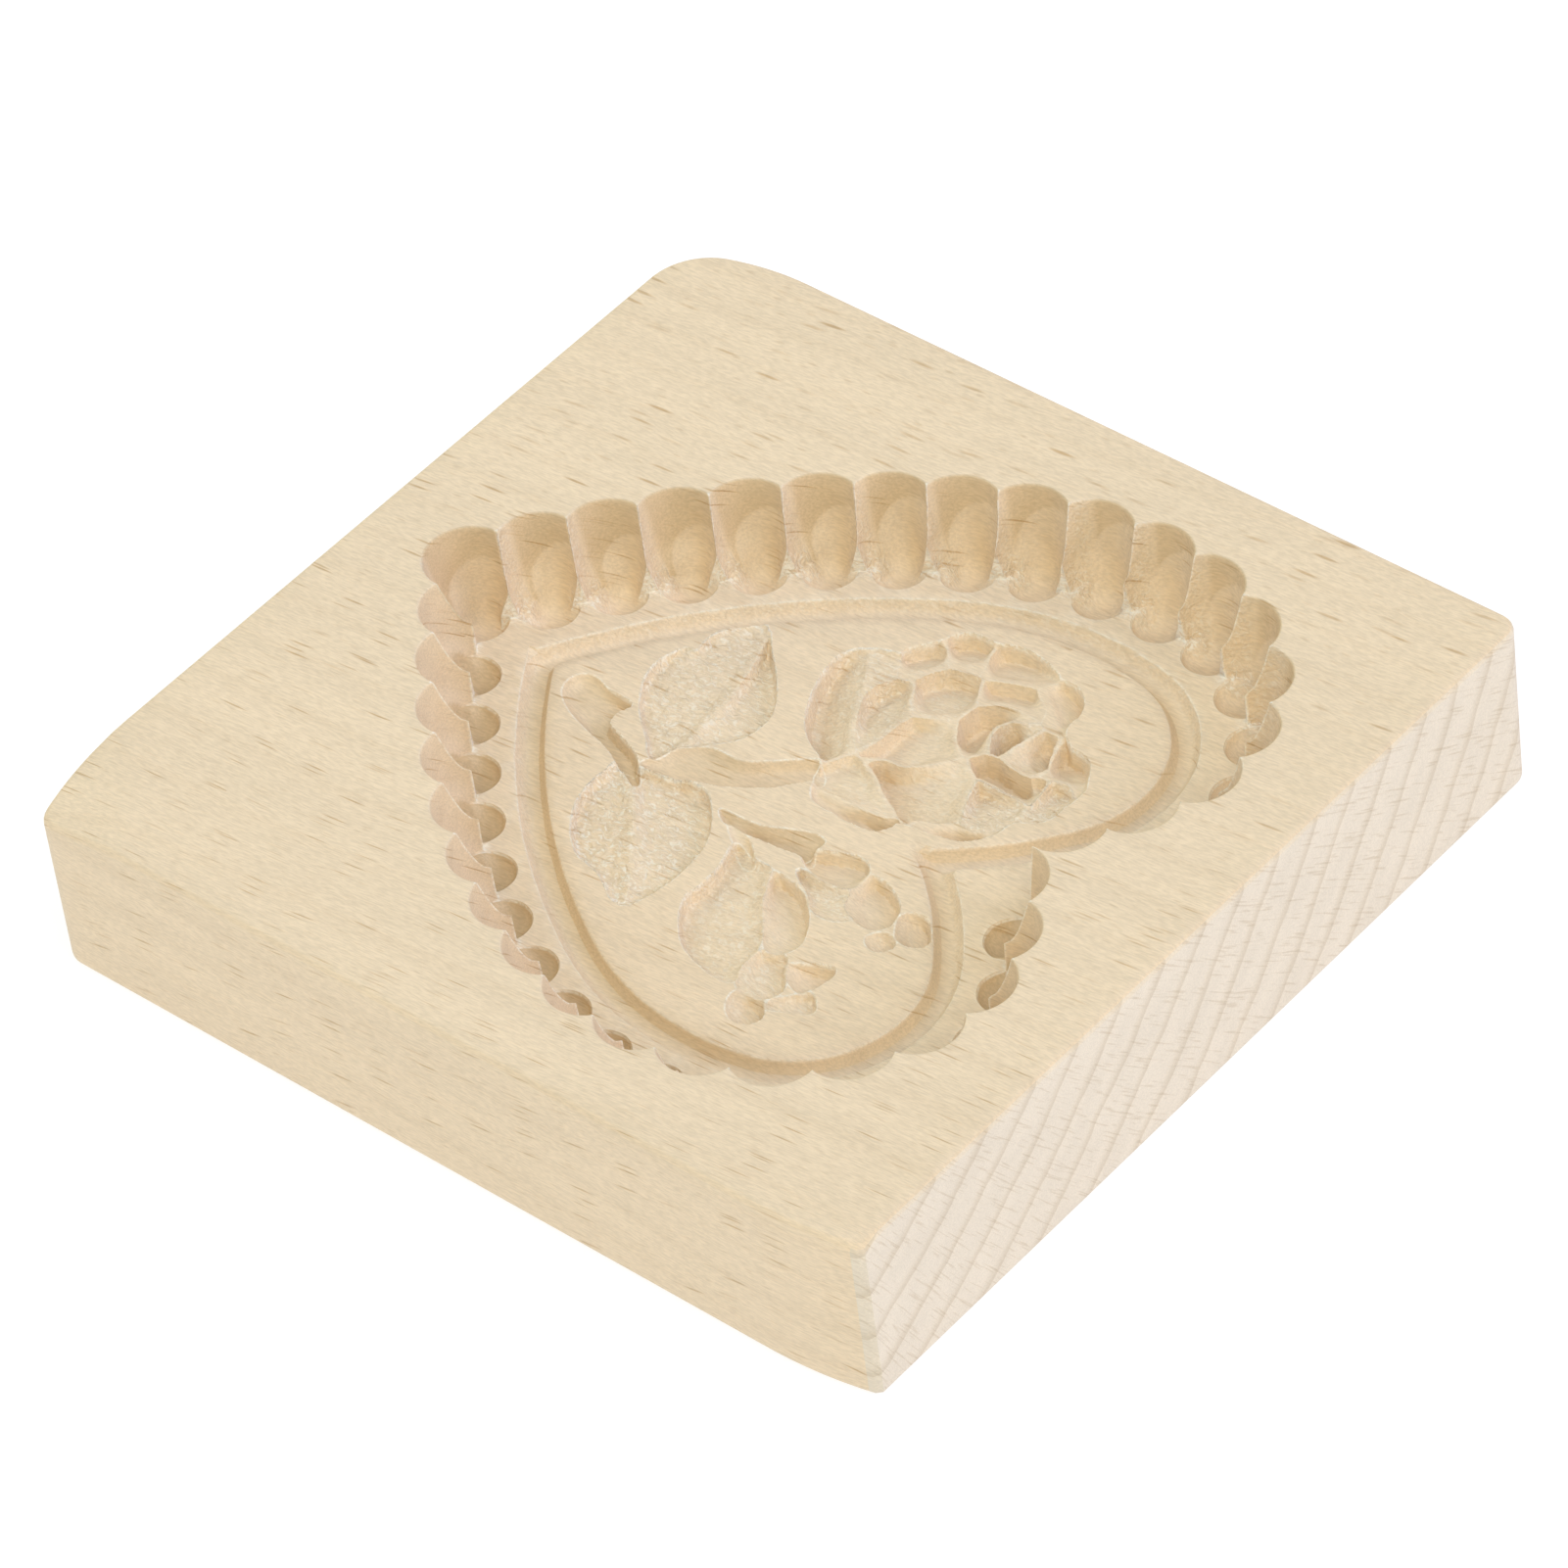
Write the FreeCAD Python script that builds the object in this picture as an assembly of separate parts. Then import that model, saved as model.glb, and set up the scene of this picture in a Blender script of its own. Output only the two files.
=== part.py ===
"""A carved beech cookie mould: one board with a fluted heart hollow and a rose in its floor.

Millimetres. The origin is the bottom centre of the board, +Z is up out of the carved face,
+X runs along the grain from the tip of the heart to its lobes, +Y runs across the grain.
"""
import FreeCAD
import Part
import math
import os

os.makedirs("parts", exist_ok=True)

# board: a planed strip 100 x 20 mm, cut across the grain at 103 mm
board_length = 103.0
board_width = 100.0
board_thickness = 20.0
edge_bevel = 0.7
arris_bevel = 0.6

# corners dubbed by hand in plan: each is one or two tangent arcs of (radius, degrees of turn)
far_corner = [(30.0, 18.0), (7.0, 72.0)]
left_corner = [(35.0, 14.0), (2.5, 76.0)]
right_corner = [(2.2, 90.0)]
front_corner = [(50.0, 13.5)]

# small flats dubbed into the carved face at two corners: reach and drop
left_flat_reach = 13.0
left_flat_drop = 1.6
front_flat_reach = 4.0
front_flat_drop = 1.3

# heart hollow: flutes stand upright on a line through their centres, and each ends in a round
# nose of (share of its radius at the ledge, dip below the ledge)
floor_depth = 9.0
flutes_per_side = 17
flute_mouth_radius = 4.42
flute_ledge_radius = 2.85
flute_nose = [(1.0, 0.0), (0.77, 1.0), (0.39, 1.6)]
flute_sides = 20
heart_line = [(-39.0, 0.0), (-25.6, 15.8), (-9.8, 29.1), (9.4, 37.0),
              (23.1, 36.7), (34.4, 29.4), (38.1, 16.3), (32.0, 4.5)]

# groove between the ledge under the flutes and the raised pad: one half of the heart as
# tangent arcs of (radius, degrees of turn), from the tip to the cleft
groove_mouth = 3.0
groove_floor = 1.7
groove_depth = 1.4
groove_tip = -30.7
groove_heading = 58.4
groove_bends = [(79.0, 29.8), (32.5, 39.5), (13.6, 114.3), (42.3, 19.6)]
groove_overrun = 3.0

# rose: each petal is (start, crown, end, heel) of its outline
petal_outer_rim = 1.5
petal_outer_heel = 0.7
petal_middle_rim = 1.9
petal_middle_heel = 1.0
petal_inner_rim = 2.3
petal_inner_heel = 1.4
petal_dish = 0.35
rose_well_x = 9.6
rose_well_y = 13.2
rose_well_radius = 9.0
rose_well_depth = 0.8
outer_petals = [
    [(2.0, 4.0), (-3.3, 7.9), (-5.9, 14.2), (1.8, 11.0)],
    [(-5.7, 13.6), (-5.2, 18.3), (-0.6, 19.3), (0.4, 14.2)],
    [(-0.9, 18.9), (-0.6, 22.0), (1.8, 23.9), (3.2, 18.6)],
    [(1.2, 23.7), (2.5, 25.6), (6.2, 25.3), (5.4, 20.2)],
    [(5.4, 25.2), (8.6, 27.3), (13.5, 25.2), (9.6, 21.2)],
    [(13.0, 25.0), (15.8, 25.5), (18.6, 21.6), (14.2, 20.8)],
    [(18.0, 22.4), (20.4, 22.1), (20.4, 19.6), (17.4, 19.6)],
    [(20.0, 17.4), (23.9, 17.2), (25.6, 13.6), (19.6, 14.2)],
    [(25.6, 14.0), (24.6, 9.4), (21.6, 7.6), (18.9, 12.2)],
    [(21.9, 8.6), (21.0, 5.2), (16.6, 5.0), (15.6, 10.4)],
    [(21.6, 5.9), (17.4, 2.5), (13.2, 2.3), (16.4, 6.0)],
    [(13.4, 2.9), (8.4, -1.0), (4.3, 0.2), (8.2, 3.4)],
    [(5.2, 0.3), (2.2, 1.8), (1.6, 4.6), (6.2, 6.4)],
]
middle_petals = [
    [(5.4, 6.0), (1.2, 10.0), (-0.1, 15.8), (6.4, 12.8)],
    [(-0.2, 15.2), (1.0, 20.2), (7.0, 20.9), (5.6, 15.0)],
    [(8.2, 20.4), (11.0, 23.2), (14.6, 21.8), (11.4, 18.6)],
    [(18.6, 9.6), (15.4, 4.6), (11.2, 5.6), (12.9, 10.6)],
    [(12.6, 4.6), (8.4, 4.8), (4.6, 8.6), (10.0, 9.4)],
]
inner_petals = [
    [(10.2, 13.4), (9.9, 18.6), (14.2, 20.9), (13.8, 15.4)],
    [(13.6, 21.0), (19.4, 19.2), (19.6, 12.6), (14.6, 15.6)],
    [(19.4, 13.2), (16.2, 9.6), (10.6, 12.2), (15.0, 14.8)],
]
heart_of_rose_x = 15.3
heart_of_rose_y = 16.2
heart_of_rose_radius = 1.7
heart_of_rose_depth = 2.7

# leaves: base, widest point of one side, tip, widest point of the other side
leaf_depth = 1.3
leaf_rib_depth = 0.6
leaves = [
    [(-12.0, -4.9), (-20.6, 6.4), (-14.6, 15.0), (-6.2, 5.0)],
    [(-1.9, -23.4), (-14.7, -13.6), (-11.9, -6.2), (0.5, -12.6)],
]

# buds: outline (start, crown, end, heel) and the scooped petals inside
bud_depth = 0.9
bud_petal_rim = 1.6
bud_petal_heel = 0.8
buds = [
    [(9.0, -6.8), (16.6, -4.6), (21.4, -10.0), (14.2, -11.3)],
    [(1.6, -8.6), (13.4, -12.4), (17.2, -22.4), (5.0, -19.8)],
]
bud_petals = [
    [(9.6, -6.5), (13.0, -5.3), (16.8, -7.2), (12.6, -9.0)],
    [(14.8, -7.4), (20.2, -7.6), (20.4, -10.8), (16.0, -10.6)],
    [(7.0, -10.8), (13.9, -13.6), (16.4, -19.4), (9.6, -16.4)],
    [(3.2, -13.0), (5.1, -19.4), (9.6, -22.8), (8.4, -17.0)],
    [(9.0, -22.4), (13.2, -23.0), (16.4, -21.4), (12.4, -19.4)],
]

# round gouge strokes: stations of (x, y, radius)
stroke_sides = 12
strokes = [
    [(-25.9, -0.7, 0.9), (-24.6, -1.1, 1.6), (-20.0, -3.0, 1.45), (-15.6, -5.3, 0.85),
     (-11.6, -7.4, 0.35)],
    [(-21.6, -2.2, 1.1), (-19.8, -1.3, 0.8), (-18.0, -0.7, 0.2)],
    [(-12.2, -5.3, 0.5), (-9.0, -4.2, 1.1), (-4.0, -2.3, 1.45), (-0.4, 0.3, 1.45), (1.7, 2.4, 0.9)],
    [(-4.9, -4.6, 0.5), (-2.8, -4.9, 1.3), (2.0, -5.7, 1.45), (6.4, -6.0, 1.5), (8.5, -5.4, 0.9)],
    [(6.6, -4.9, 0.7), (7.9, -4.4, 0.9), (8.7, -4.2, 0.3)],
    [(-0.9, -6.9, 0.5), (1.4, -8.4, 1.2), (4.2, -10.6, 1.7), (6.4, -12.6, 1.1)],
    [(21.9, -8.2, 0.5), (23.4, -8.7, 1.1), (25.2, -9.5, 0.5)],
    [(20.9, -10.7, 0.3), (22.2, -11.2, 0.65), (23.4, -11.7, 0.25)],
    [(15.8, -19.9, 0.5), (18.3, -18.9, 1.1), (21.4, -17.3, 0.2)],
    [(17.4, -22.6, 0.5), (19.8, -22.0, 1.2), (22.0, -22.1, 0.3)],
]

# round tool marks: (x, y, radius, depth), with a section of (share of radius, share of depth)
dots = [(17.2, -25.7, 1.45, 1.4), (2.9, -1.6, 0.6, 0.6)]
dot_section = [(1.0, 0.0), (0.8, 0.6), (0.4, 1.0)]

pad_level = board_thickness - floor_depth
clear_above = 2.0


def point(x, y, z=0.0):
    """Return a vector from plan coordinates and a height."""
    return FreeCAD.Vector(x, y, z)


def turn_arcs(start, heading, bends):
    """Return tangent arcs that each turn clockwise by their degrees, and the point where they end."""
    edges = []
    for radius, turn in bends:
        centre = start + point(math.sin(heading), -math.cos(heading)) * radius
        spots = []
        for share in (0.0, 0.5, 1.0):
            angle = heading - share * math.radians(turn)
            spots.append(centre + point(-math.sin(angle), math.cos(angle)) * radius)
        edges.append(Part.Arc(*spots).toShape())
        start = spots[2]
        heading -= math.radians(turn)
    return edges, start


def corner_run(bends):
    """Return how far a corner's arcs run along the side that they leave."""
    return turn_arcs(point(0, 0), 0.0, bends)[1].x


def make_board():
    """Return the planed board with its uneven corners and eased edges, drawn clockwise from the left."""
    right = board_length / 2
    back = board_width / 2
    far_bends = list(reversed(far_corner))
    left_bends = list(reversed(left_corner))
    front_turn = math.radians(sum(turn for radius, turn in front_corner))
    front_cut = -turn_arcs(point(0, 0), 0.0, front_corner)[1].y
    far_start = point(-right, back - corner_run(far_bends))
    far_edges, far_end = turn_arcs(far_start, math.pi / 2, far_bends)
    right_start = point(right - corner_run(right_corner), back)
    right_edges, right_end = turn_arcs(right_start, 0.0, right_corner)
    arris_start = point(right, -back + front_cut + arris_bevel)
    front_start = point(right - arris_bevel, -back + front_cut)
    front_edges, front_end = turn_arcs(front_start, front_turn - math.pi, front_corner)
    left_start = point(-right + corner_run(left_bends), -back)
    left_edges, left_end = turn_arcs(left_start, math.pi, left_bends)
    outline = Part.Wire(
        far_edges
        + [Part.makeLine(far_end, right_start)]
        + right_edges
        + [Part.makeLine(right_end, arris_start), Part.makeLine(arris_start, front_start)]
        + front_edges
        + [Part.makeLine(front_end, left_start)]
        + left_edges
        + [Part.makeLine(left_end, far_start)]
    )
    block = Part.Face(outline).extrude(point(0, 0, board_thickness))
    rims = []
    for edge in block.Edges:
        if edge.BoundBox.ZLength < edge_bevel:
            rims.append(edge)
    block = block.makeChamfer(edge_bevel, rims)
    block = block.cut(corner_flat(-right, -back, 1, left_flat_reach, left_flat_drop))
    block = block.cut(corner_flat(right, -back, -1, front_flat_reach, front_flat_drop))
    return block


def corner_flat(x, y, inward, reach, drop):
    """Return a wedge that dubs the carved face down towards a near corner; inward is 1 or -1 along X."""
    along_end = point(x + inward * reach, y, board_thickness)
    along_side = point(x, y + reach, board_thickness)
    corner = point(x, y, board_thickness - drop)
    spread = along_side - along_end
    outward = corner - (along_end + along_side) * 0.5
    low = corner + outward * 2
    face = Part.Face(Part.makePolygon([along_end - spread, along_side + spread, low, along_end - spread]))
    return face.extrude(point(0, 0, 4 * drop))


def heart_stations():
    """Return the flute centres (x, y) and their outward directions, evenly spaced from tip to cleft."""
    curve = Part.BSplineCurve()
    curve.interpolate([point(x, y) for x, y in heart_line])
    stations = []
    for spot in curve.toShape().discretize(flutes_per_side + 1):
        along = curve.tangent(curve.parameter(spot))[0]
        stations.append((spot.x, spot.y, math.atan2(along.x, -along.y)))
    return stations


def make_hollow(stations):
    """Return the plain heart-shaped hollow inside the flutes."""
    corners = [point(x, y, pad_level) for x, y, facing in stations]
    corners += [point(x, -y, pad_level) for x, y, facing in reversed(stations[1:])]
    face = Part.Face(Part.makePolygon(corners + [corners[0]]))
    return face.extrude(point(0, 0, floor_depth + clear_above))


def round_cut(x, y, facing, section, sides):
    """Return an upright cutter with even flats round it, from a section of (radius, height) going down."""
    rings = []
    for radius, height in section:
        ring = []
        for side in range(sides):
            angle = facing + 2 * math.pi * (side + 0.5) / sides
            ring.append(point(x + radius * math.cos(angle), y + radius * math.sin(angle), height))
        rings.append(ring)
    faces = []
    for ring in (rings[0], rings[-1]):
        faces.append(Part.Face(Part.makePolygon(ring + [ring[0]])))
    for upper, lower in zip(rings, rings[1:]):
        for side in range(sides):
            after = (side + 1) % sides
            corners = [upper[side], upper[after], lower[after], lower[side], upper[side]]
            faces.append(Part.Face(Part.makePolygon(corners)))
    return Part.Solid(Part.Shell(faces))


def make_flute(x, y, facing):
    """Return one tapered flute with a rounded nose that dips below the ledge."""
    taper = (flute_mouth_radius - flute_ledge_radius) / floor_depth
    section = [(flute_mouth_radius + taper * clear_above, board_thickness + clear_above)]
    for share, dip in flute_nose:
        section.append((flute_ledge_radius * share, pad_level - dip))
    return round_cut(x, y, facing, section, flute_sides)


def make_dot(x, y, radius, depth):
    """Return one round tool mark in the pad."""
    section = [(radius, pad_level + clear_above)]
    for share, dip in dot_section:
        section.append((radius * share, pad_level - depth * dip))
    return round_cut(x, y, 0.0, section, stroke_sides)


def make_groove():
    """Return the groove of one half of the heart, cut off square on the middle line."""
    heading = math.radians(groove_heading)
    first_radius = groove_bends[0][0]
    last_radius = groove_bends[-1][0]
    lead_in = groove_overrun / first_radius
    lead_out = groove_overrun / last_radius
    bends = list(groove_bends)
    bends[0] = (first_radius, bends[0][1] + math.degrees(lead_in))
    bends[-1] = (last_radius, bends[-1][1] + math.degrees(lead_out))
    centre = point(groove_tip, 0) + point(math.sin(heading), -math.cos(heading)) * first_radius
    heading += lead_in
    across = point(-math.sin(heading), math.cos(heading))
    start = centre + across * first_radius
    path = Part.Wire(turn_arcs(start, heading, bends)[0])
    corners = []
    for half_width, level in ((groove_mouth / 2, clear_above), (groove_mouth / 2, 0.0),
                              (groove_floor / 2, -groove_depth)):
        corners.append(start + across * half_width + point(0, 0, level))
        corners.insert(0, start - across * half_width + point(0, 0, level))
    pipe = path.makePipe(Part.Face(Part.makePolygon(corners + [corners[0]])))
    pipe.translate(point(0, 0, pad_level))
    span = board_length
    return pipe.common(Part.makeBox(span, span, span, point(-span / 2, 0, 0)))


def closed_prism(plan_edges, low):
    """Return the plan outline as a solid from height low up past the floor."""
    face = Part.Face(Part.Wire(plan_edges))
    face.translate(point(0, 0, low))
    return face.extrude(point(0, 0, pad_level + clear_above - low))


def two_arcs(outline):
    """Return the closed outline of an arc from start over crown to end and one back over the heel."""
    start, crown, end, heel = [point(*spot) for spot in outline]
    return [Part.Arc(start, crown, end).toShape(), Part.Arc(end, heel, start).toShape()]


def make_petal(outline, rim_depth, heel_depth):
    """Return a scooped petal: steep at its crown, rising in a shallow dish to its heel."""
    crown = point(*outline[1])
    heel = point(*outline[3])
    prism = closed_prism(two_arcs(outline), pad_level - 2 * rim_depth)
    run = crown - heel
    slope = (heel_depth - rim_depth) / run.Length
    run.normalize()
    far = crown + run + point(0, 0, pad_level - rim_depth + slope)
    near = heel - run + point(0, 0, pad_level - heel_depth - slope)
    middle = (far + near) * 0.5 - point(0, 0, petal_dish)
    lift = point(0, 0, 2 * clear_above + rim_depth)
    dish = Part.Arc(near, middle, far).toShape()
    lid = Part.makePolygon([far, far + lift, near + lift, near])
    section = Part.Face(Part.Wire([dish] + lid.Edges))
    across = point(-run.y, run.x) * board_width
    section.translate(across * -0.5)
    return prism.common(section.extrude(across))


def make_leaf(outline):
    """Return a leaf: two gouged halves that leave a rib from base to tip."""
    base, left, tip, right = [point(*spot) for spot in outline]
    prism = closed_prism(two_arcs(outline), pad_level - 2 * leaf_depth)
    along = tip - base
    along.normalize()
    across = point(-along.y, along.x)
    rise = leaf_depth - leaf_rib_depth
    gouges = []
    for side in (left, right):
        width = (side - base).dot(across)
        radius = (width * width / 4 + rise * rise) / (2 * rise)
        centre = base + across * (width / 2) - along * board_width
        centre.z = pad_level - leaf_depth + radius
        gouges.append(Part.makeCylinder(radius, 2 * board_width, centre, along))
    return prism.common(gouges[0].fuse(gouges[1]))


def make_stroke(stations):
    """Return a round gouge stroke whose radius changes along its way."""
    rings = []
    for index, (x, y, radius) in enumerate(stations):
        before = stations[max(index - 1, 0)]
        after = stations[min(index + 1, len(stations) - 1)]
        across = point(before[1] - after[1], after[0] - before[0])
        across.normalize()
        ring = []
        for side in range(stroke_sides + 1):
            angle = 2 * math.pi * side / stroke_sides
            ring.append(point(x, y, pad_level) + across * (radius * math.cos(angle))
                        + point(0, 0, radius * math.sin(angle)))
        rings.append(Part.makePolygon(ring))
    return Part.makeLoft(rings, True, True)


def carve():
    """Return the finished mould."""
    mould = make_board()
    stations = heart_stations()
    mould = mould.cut(make_hollow(stations))
    for index, (x, y, facing) in enumerate(stations):
        mould = mould.cut(make_flute(x, y, facing))
        if index > 0:
            mould = mould.cut(make_flute(x, -y, -facing))
    groove = make_groove()
    mould = mould.cut(groove)
    mould = mould.cut(groove.mirror(point(0, 0, 0), point(0, 1, 0)))
    well = Part.makeCylinder(rose_well_radius, clear_above + rose_well_depth,
                             point(rose_well_x, rose_well_y, pad_level - rose_well_depth))
    tools = [well]
    for outline in outer_petals:
        tools.append(make_petal(outline, petal_outer_rim, petal_outer_heel))
    for outline in middle_petals:
        tools.append(make_petal(outline, petal_middle_rim, petal_middle_heel))
    for outline in inner_petals:
        tools.append(make_petal(outline, petal_inner_rim, petal_inner_heel))
    tools.append(make_dot(heart_of_rose_x, heart_of_rose_y, heart_of_rose_radius, heart_of_rose_depth))
    for outline in leaves:
        tools.append(make_leaf(outline))
    for outline in buds:
        tools.append(closed_prism(two_arcs(outline), pad_level - bud_depth))
    for outline in bud_petals:
        tools.append(make_petal(outline, bud_petal_rim, bud_petal_heel))
    for line in strokes:
        tools.append(make_stroke(line))
    for x, y, radius, depth in dots:
        tools.append(make_dot(x, y, radius, depth))
    for tool in tools:
        mould = mould.cut(tool)
    return mould


mould = carve()
if len(mould.Solids) != 1:
    raise RuntimeError("the mould must be one solid")
mould = mould.Solids[0]
mould.exportStep("parts/mould.step")
print("valid", mould.isValid(), "volume", round(mould.Volume, 1), "faces", len(mould.Faces))
print("box", mould.BoundBox)
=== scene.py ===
"""A carved beech cookie mould: a square board with a fluted heart hollow and a rose in its floor.

The board is one piece of wood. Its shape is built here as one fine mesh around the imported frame:
the planed block, the ring of flutes, and the hollow's floor, whose height is a function of the
plan position. Lengths are in millimetres until a mesh is made. +X runs along the grain from the
tip of the heart to its lobes, +Y across the grain, +Z up out of the carved face.
"""

import logging
import math
from collections.abc import Callable
from dataclasses import dataclass, field
from enum import Enum

import bpy
import numpy as np
from mathutils import Matrix, Vector, kdtree
from mathutils.geometry import delaunay_2d_cdt

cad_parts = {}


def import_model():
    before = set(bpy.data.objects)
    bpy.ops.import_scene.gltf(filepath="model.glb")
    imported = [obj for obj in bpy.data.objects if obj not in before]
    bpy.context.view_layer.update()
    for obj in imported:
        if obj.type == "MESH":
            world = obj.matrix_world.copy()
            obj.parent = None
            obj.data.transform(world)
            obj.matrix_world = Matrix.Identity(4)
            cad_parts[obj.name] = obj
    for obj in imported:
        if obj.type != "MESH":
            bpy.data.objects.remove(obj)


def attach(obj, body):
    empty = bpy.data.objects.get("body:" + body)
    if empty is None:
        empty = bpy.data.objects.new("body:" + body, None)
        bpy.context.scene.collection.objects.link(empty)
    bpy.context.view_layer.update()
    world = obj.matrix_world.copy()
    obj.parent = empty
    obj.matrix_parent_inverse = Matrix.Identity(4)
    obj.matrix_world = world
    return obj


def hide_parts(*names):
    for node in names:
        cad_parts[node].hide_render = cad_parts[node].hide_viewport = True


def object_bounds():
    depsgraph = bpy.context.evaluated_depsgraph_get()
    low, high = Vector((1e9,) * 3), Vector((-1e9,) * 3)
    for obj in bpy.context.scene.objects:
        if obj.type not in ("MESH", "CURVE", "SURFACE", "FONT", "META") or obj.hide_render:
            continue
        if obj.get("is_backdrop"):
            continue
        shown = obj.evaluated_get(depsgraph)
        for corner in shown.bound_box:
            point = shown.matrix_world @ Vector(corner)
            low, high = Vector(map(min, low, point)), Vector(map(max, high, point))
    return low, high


MM = 0.001
WELD_CELL = 0.0005
HASH_STEPS = np.array([374761393, 668265263, 1440662683])
HASH_SEED = 1274126177
HASH_MIX = 1103515245
HASH_BITS = 0x7FFFFFFF
log = logging.getLogger("mould")

Spot = tuple[float, float]
Colour = tuple[float, float, float]
Height = Callable[[np.ndarray, np.ndarray], np.ndarray]


class Finish(Enum):
    """The finishes of the wood, in the order of the mesh's material slots."""

    PLANED = 0
    END_GRAIN = 1
    CARVED = 2


def smooth_step(share: np.ndarray) -> np.ndarray:
    """Ease a share from 0 to 1 with level ends.

    Args:
        share: values of any size, taken as 0 below 0 and 1 above 1.

    Returns:
        The eased shares.
    """
    held = np.clip(share, 0.0, 1.0)
    return held * held * (3.0 - 2.0 * held)


def value_noise(points: np.ndarray, cell: Colour, seed: int) -> np.ndarray:
    """Give smooth noise between -1 and 1 at each point.

    Args:
        points: rows of x, y, z.
        cell: the size of one lump of the noise along x, y and z.
        seed: picks one pattern.

    Returns:
        One value for each point.
    """
    scaled = points / np.array(cell)
    base = np.floor(scaled).astype(np.int64)
    part = scaled - base
    part = part * part * (3.0 - 2.0 * part)
    total = np.zeros(len(points))
    for corner in range(8):
        step = np.array([corner & 1, corner >> 1 & 1, corner >> 2 & 1])
        mixed = (base + step) @ HASH_STEPS + seed * HASH_SEED
        mixed = ((mixed ^ (mixed >> 13)) * HASH_MIX) & HASH_BITS
        value = ((mixed ^ (mixed >> 16)) & 0xFFFF) / 32767.5 - 1.0
        total += value * np.prod(np.where(step == 1, part, 1.0 - part), axis=1)
    return total


def spline_through(knots: np.ndarray, values: np.ndarray, at: np.ndarray) -> np.ndarray:
    """Run a natural cubic spline through values.

    Args:
        knots: rising places of the values.
        values: one value for each knot.
        at: the places to read.

    Returns:
        The spline's values there.
    """
    count = len(knots)
    gap = np.diff(knots)
    system = np.eye(count)
    right = np.zeros(count)
    for k in range(1, count - 1):
        system[k, k - 1] = gap[k - 1]
        system[k, k] = 2.0 * (gap[k - 1] + gap[k])
        system[k, k + 1] = gap[k]
        slope_before = (values[k] - values[k - 1]) / gap[k - 1]
        slope_after = (values[k + 1] - values[k]) / gap[k]
        right[k] = 6.0 * (slope_after - slope_before)
    bend = np.linalg.solve(system, right)
    k = np.clip(np.searchsorted(knots, at) - 1, 0, count - 2)
    left, rest = at - knots[k], knots[k + 1] - at
    curve = (bend[k] * rest**3 + bend[k + 1] * left**3) / (6.0 * gap[k])
    curve += (values[k] / gap[k] - bend[k] * gap[k] / 6.0) * rest
    return curve + (values[k + 1] / gap[k] - bend[k + 1] * gap[k] / 6.0) * left


def tangent_arcs(start: Spot, heading: float, bends: tuple[Spot, ...], spacing: float) -> np.ndarray:
    """Sample tangent arcs that turn clockwise.

    Args:
        start: where the first arc starts.
        heading: its direction there, in radians.
        bends: each arc's radius and degrees of turn.
        spacing: the distance between points.

    Returns:
        Rows of x, y.
    """
    rows = [np.array([start])]
    x, y = start
    for radius, degrees in bends:
        cx, cy = x + radius * math.sin(heading), y - radius * math.cos(heading)
        sweep = math.radians(degrees)
        count = max(2, round(radius * sweep / spacing))
        angle = heading - np.linspace(0.0, sweep, count + 1)[1:]
        rows.append(np.stack([cx - radius * np.sin(angle), cy + radius * np.cos(angle)], axis=1))
        x, y = rows[-1][-1]
        heading -= sweep
    return np.concatenate(rows)


def inside_loop(points: np.ndarray, loop: np.ndarray) -> np.ndarray:
    """Tell which points lie inside a closed loop.

    Args:
        points: rows of x, y.
        loop: rows of x, y.

    Returns:
        True for each point inside.
    """
    inside = np.zeros(len(points), dtype=bool)
    x, y = points.T
    for (ax, ay), (bx, by) in zip(loop, np.roll(loop, -1, axis=0)):
        if ay == by:
            continue
        crosses = ((ay > y) != (by > y)) & (x < (bx - ax) * (y - ay) / (by - ay) + ax)
        inside ^= crosses
    return inside


def moved_loop(loop: np.ndarray, distance: float) -> np.ndarray:
    """Move a closed loop sideways, to its right as it runs.

    Args:
        loop: rows of x, y.
        distance: how far.

    Returns:
        The moved rows.
    """
    before = loop - np.roll(loop, 1, axis=0)
    after = np.roll(loop, -1, axis=0) - loop
    before /= np.linalg.norm(before, axis=1)[:, None]
    after /= np.linalg.norm(after, axis=1)[:, None]
    aside = np.stack([before[:, 1] + after[:, 1], -before[:, 0] - after[:, 0]], axis=1)
    aside /= np.linalg.norm(aside, axis=1)[:, None]
    cosine = np.abs(aside[:, 0] * before[:, 1] - aside[:, 1] * before[:, 0])
    return loop + aside * (distance / np.maximum(cosine, 0.5))[:, None]


def jittered(spacing: float, low: Spot, high: Spot, seed: int) -> np.ndarray:
    """Spread points unevenly over a rectangle.

    Args:
        spacing: the usual distance between them.
        low: the lowest corner.
        high: the highest corner.
        seed: picks one spread.

    Returns:
        Rows of x, y.
    """
    chance = np.random.default_rng(seed)
    x, y = np.meshgrid(np.arange(low[0], high[0], spacing), np.arange(low[1], high[1], spacing * 0.866))
    x[1::2] += spacing / 2
    grid = np.stack([x.ravel(), y.ravel()], axis=1)
    return grid + chance.uniform(-0.2, 0.2, grid.shape) * spacing


def clear_of(points: np.ndarray, others: np.ndarray, distance: float) -> np.ndarray:
    """Keep the points that lie clear of others.

    Args:
        points: rows of x, y.
        others: rows of x, y to keep clear of.
        distance: how far clear.

    Returns:
        The kept rows.
    """
    tree = kdtree.KDTree(len(others))
    for number, (x, y) in enumerate(others.tolist()):
        tree.insert((x, y, 0.0), number)
    tree.balance()
    kept = [tree.find((x, y, 0.0))[2] > distance for x, y in points.tolist()]
    return points[np.array(kept, dtype=bool)]


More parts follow.
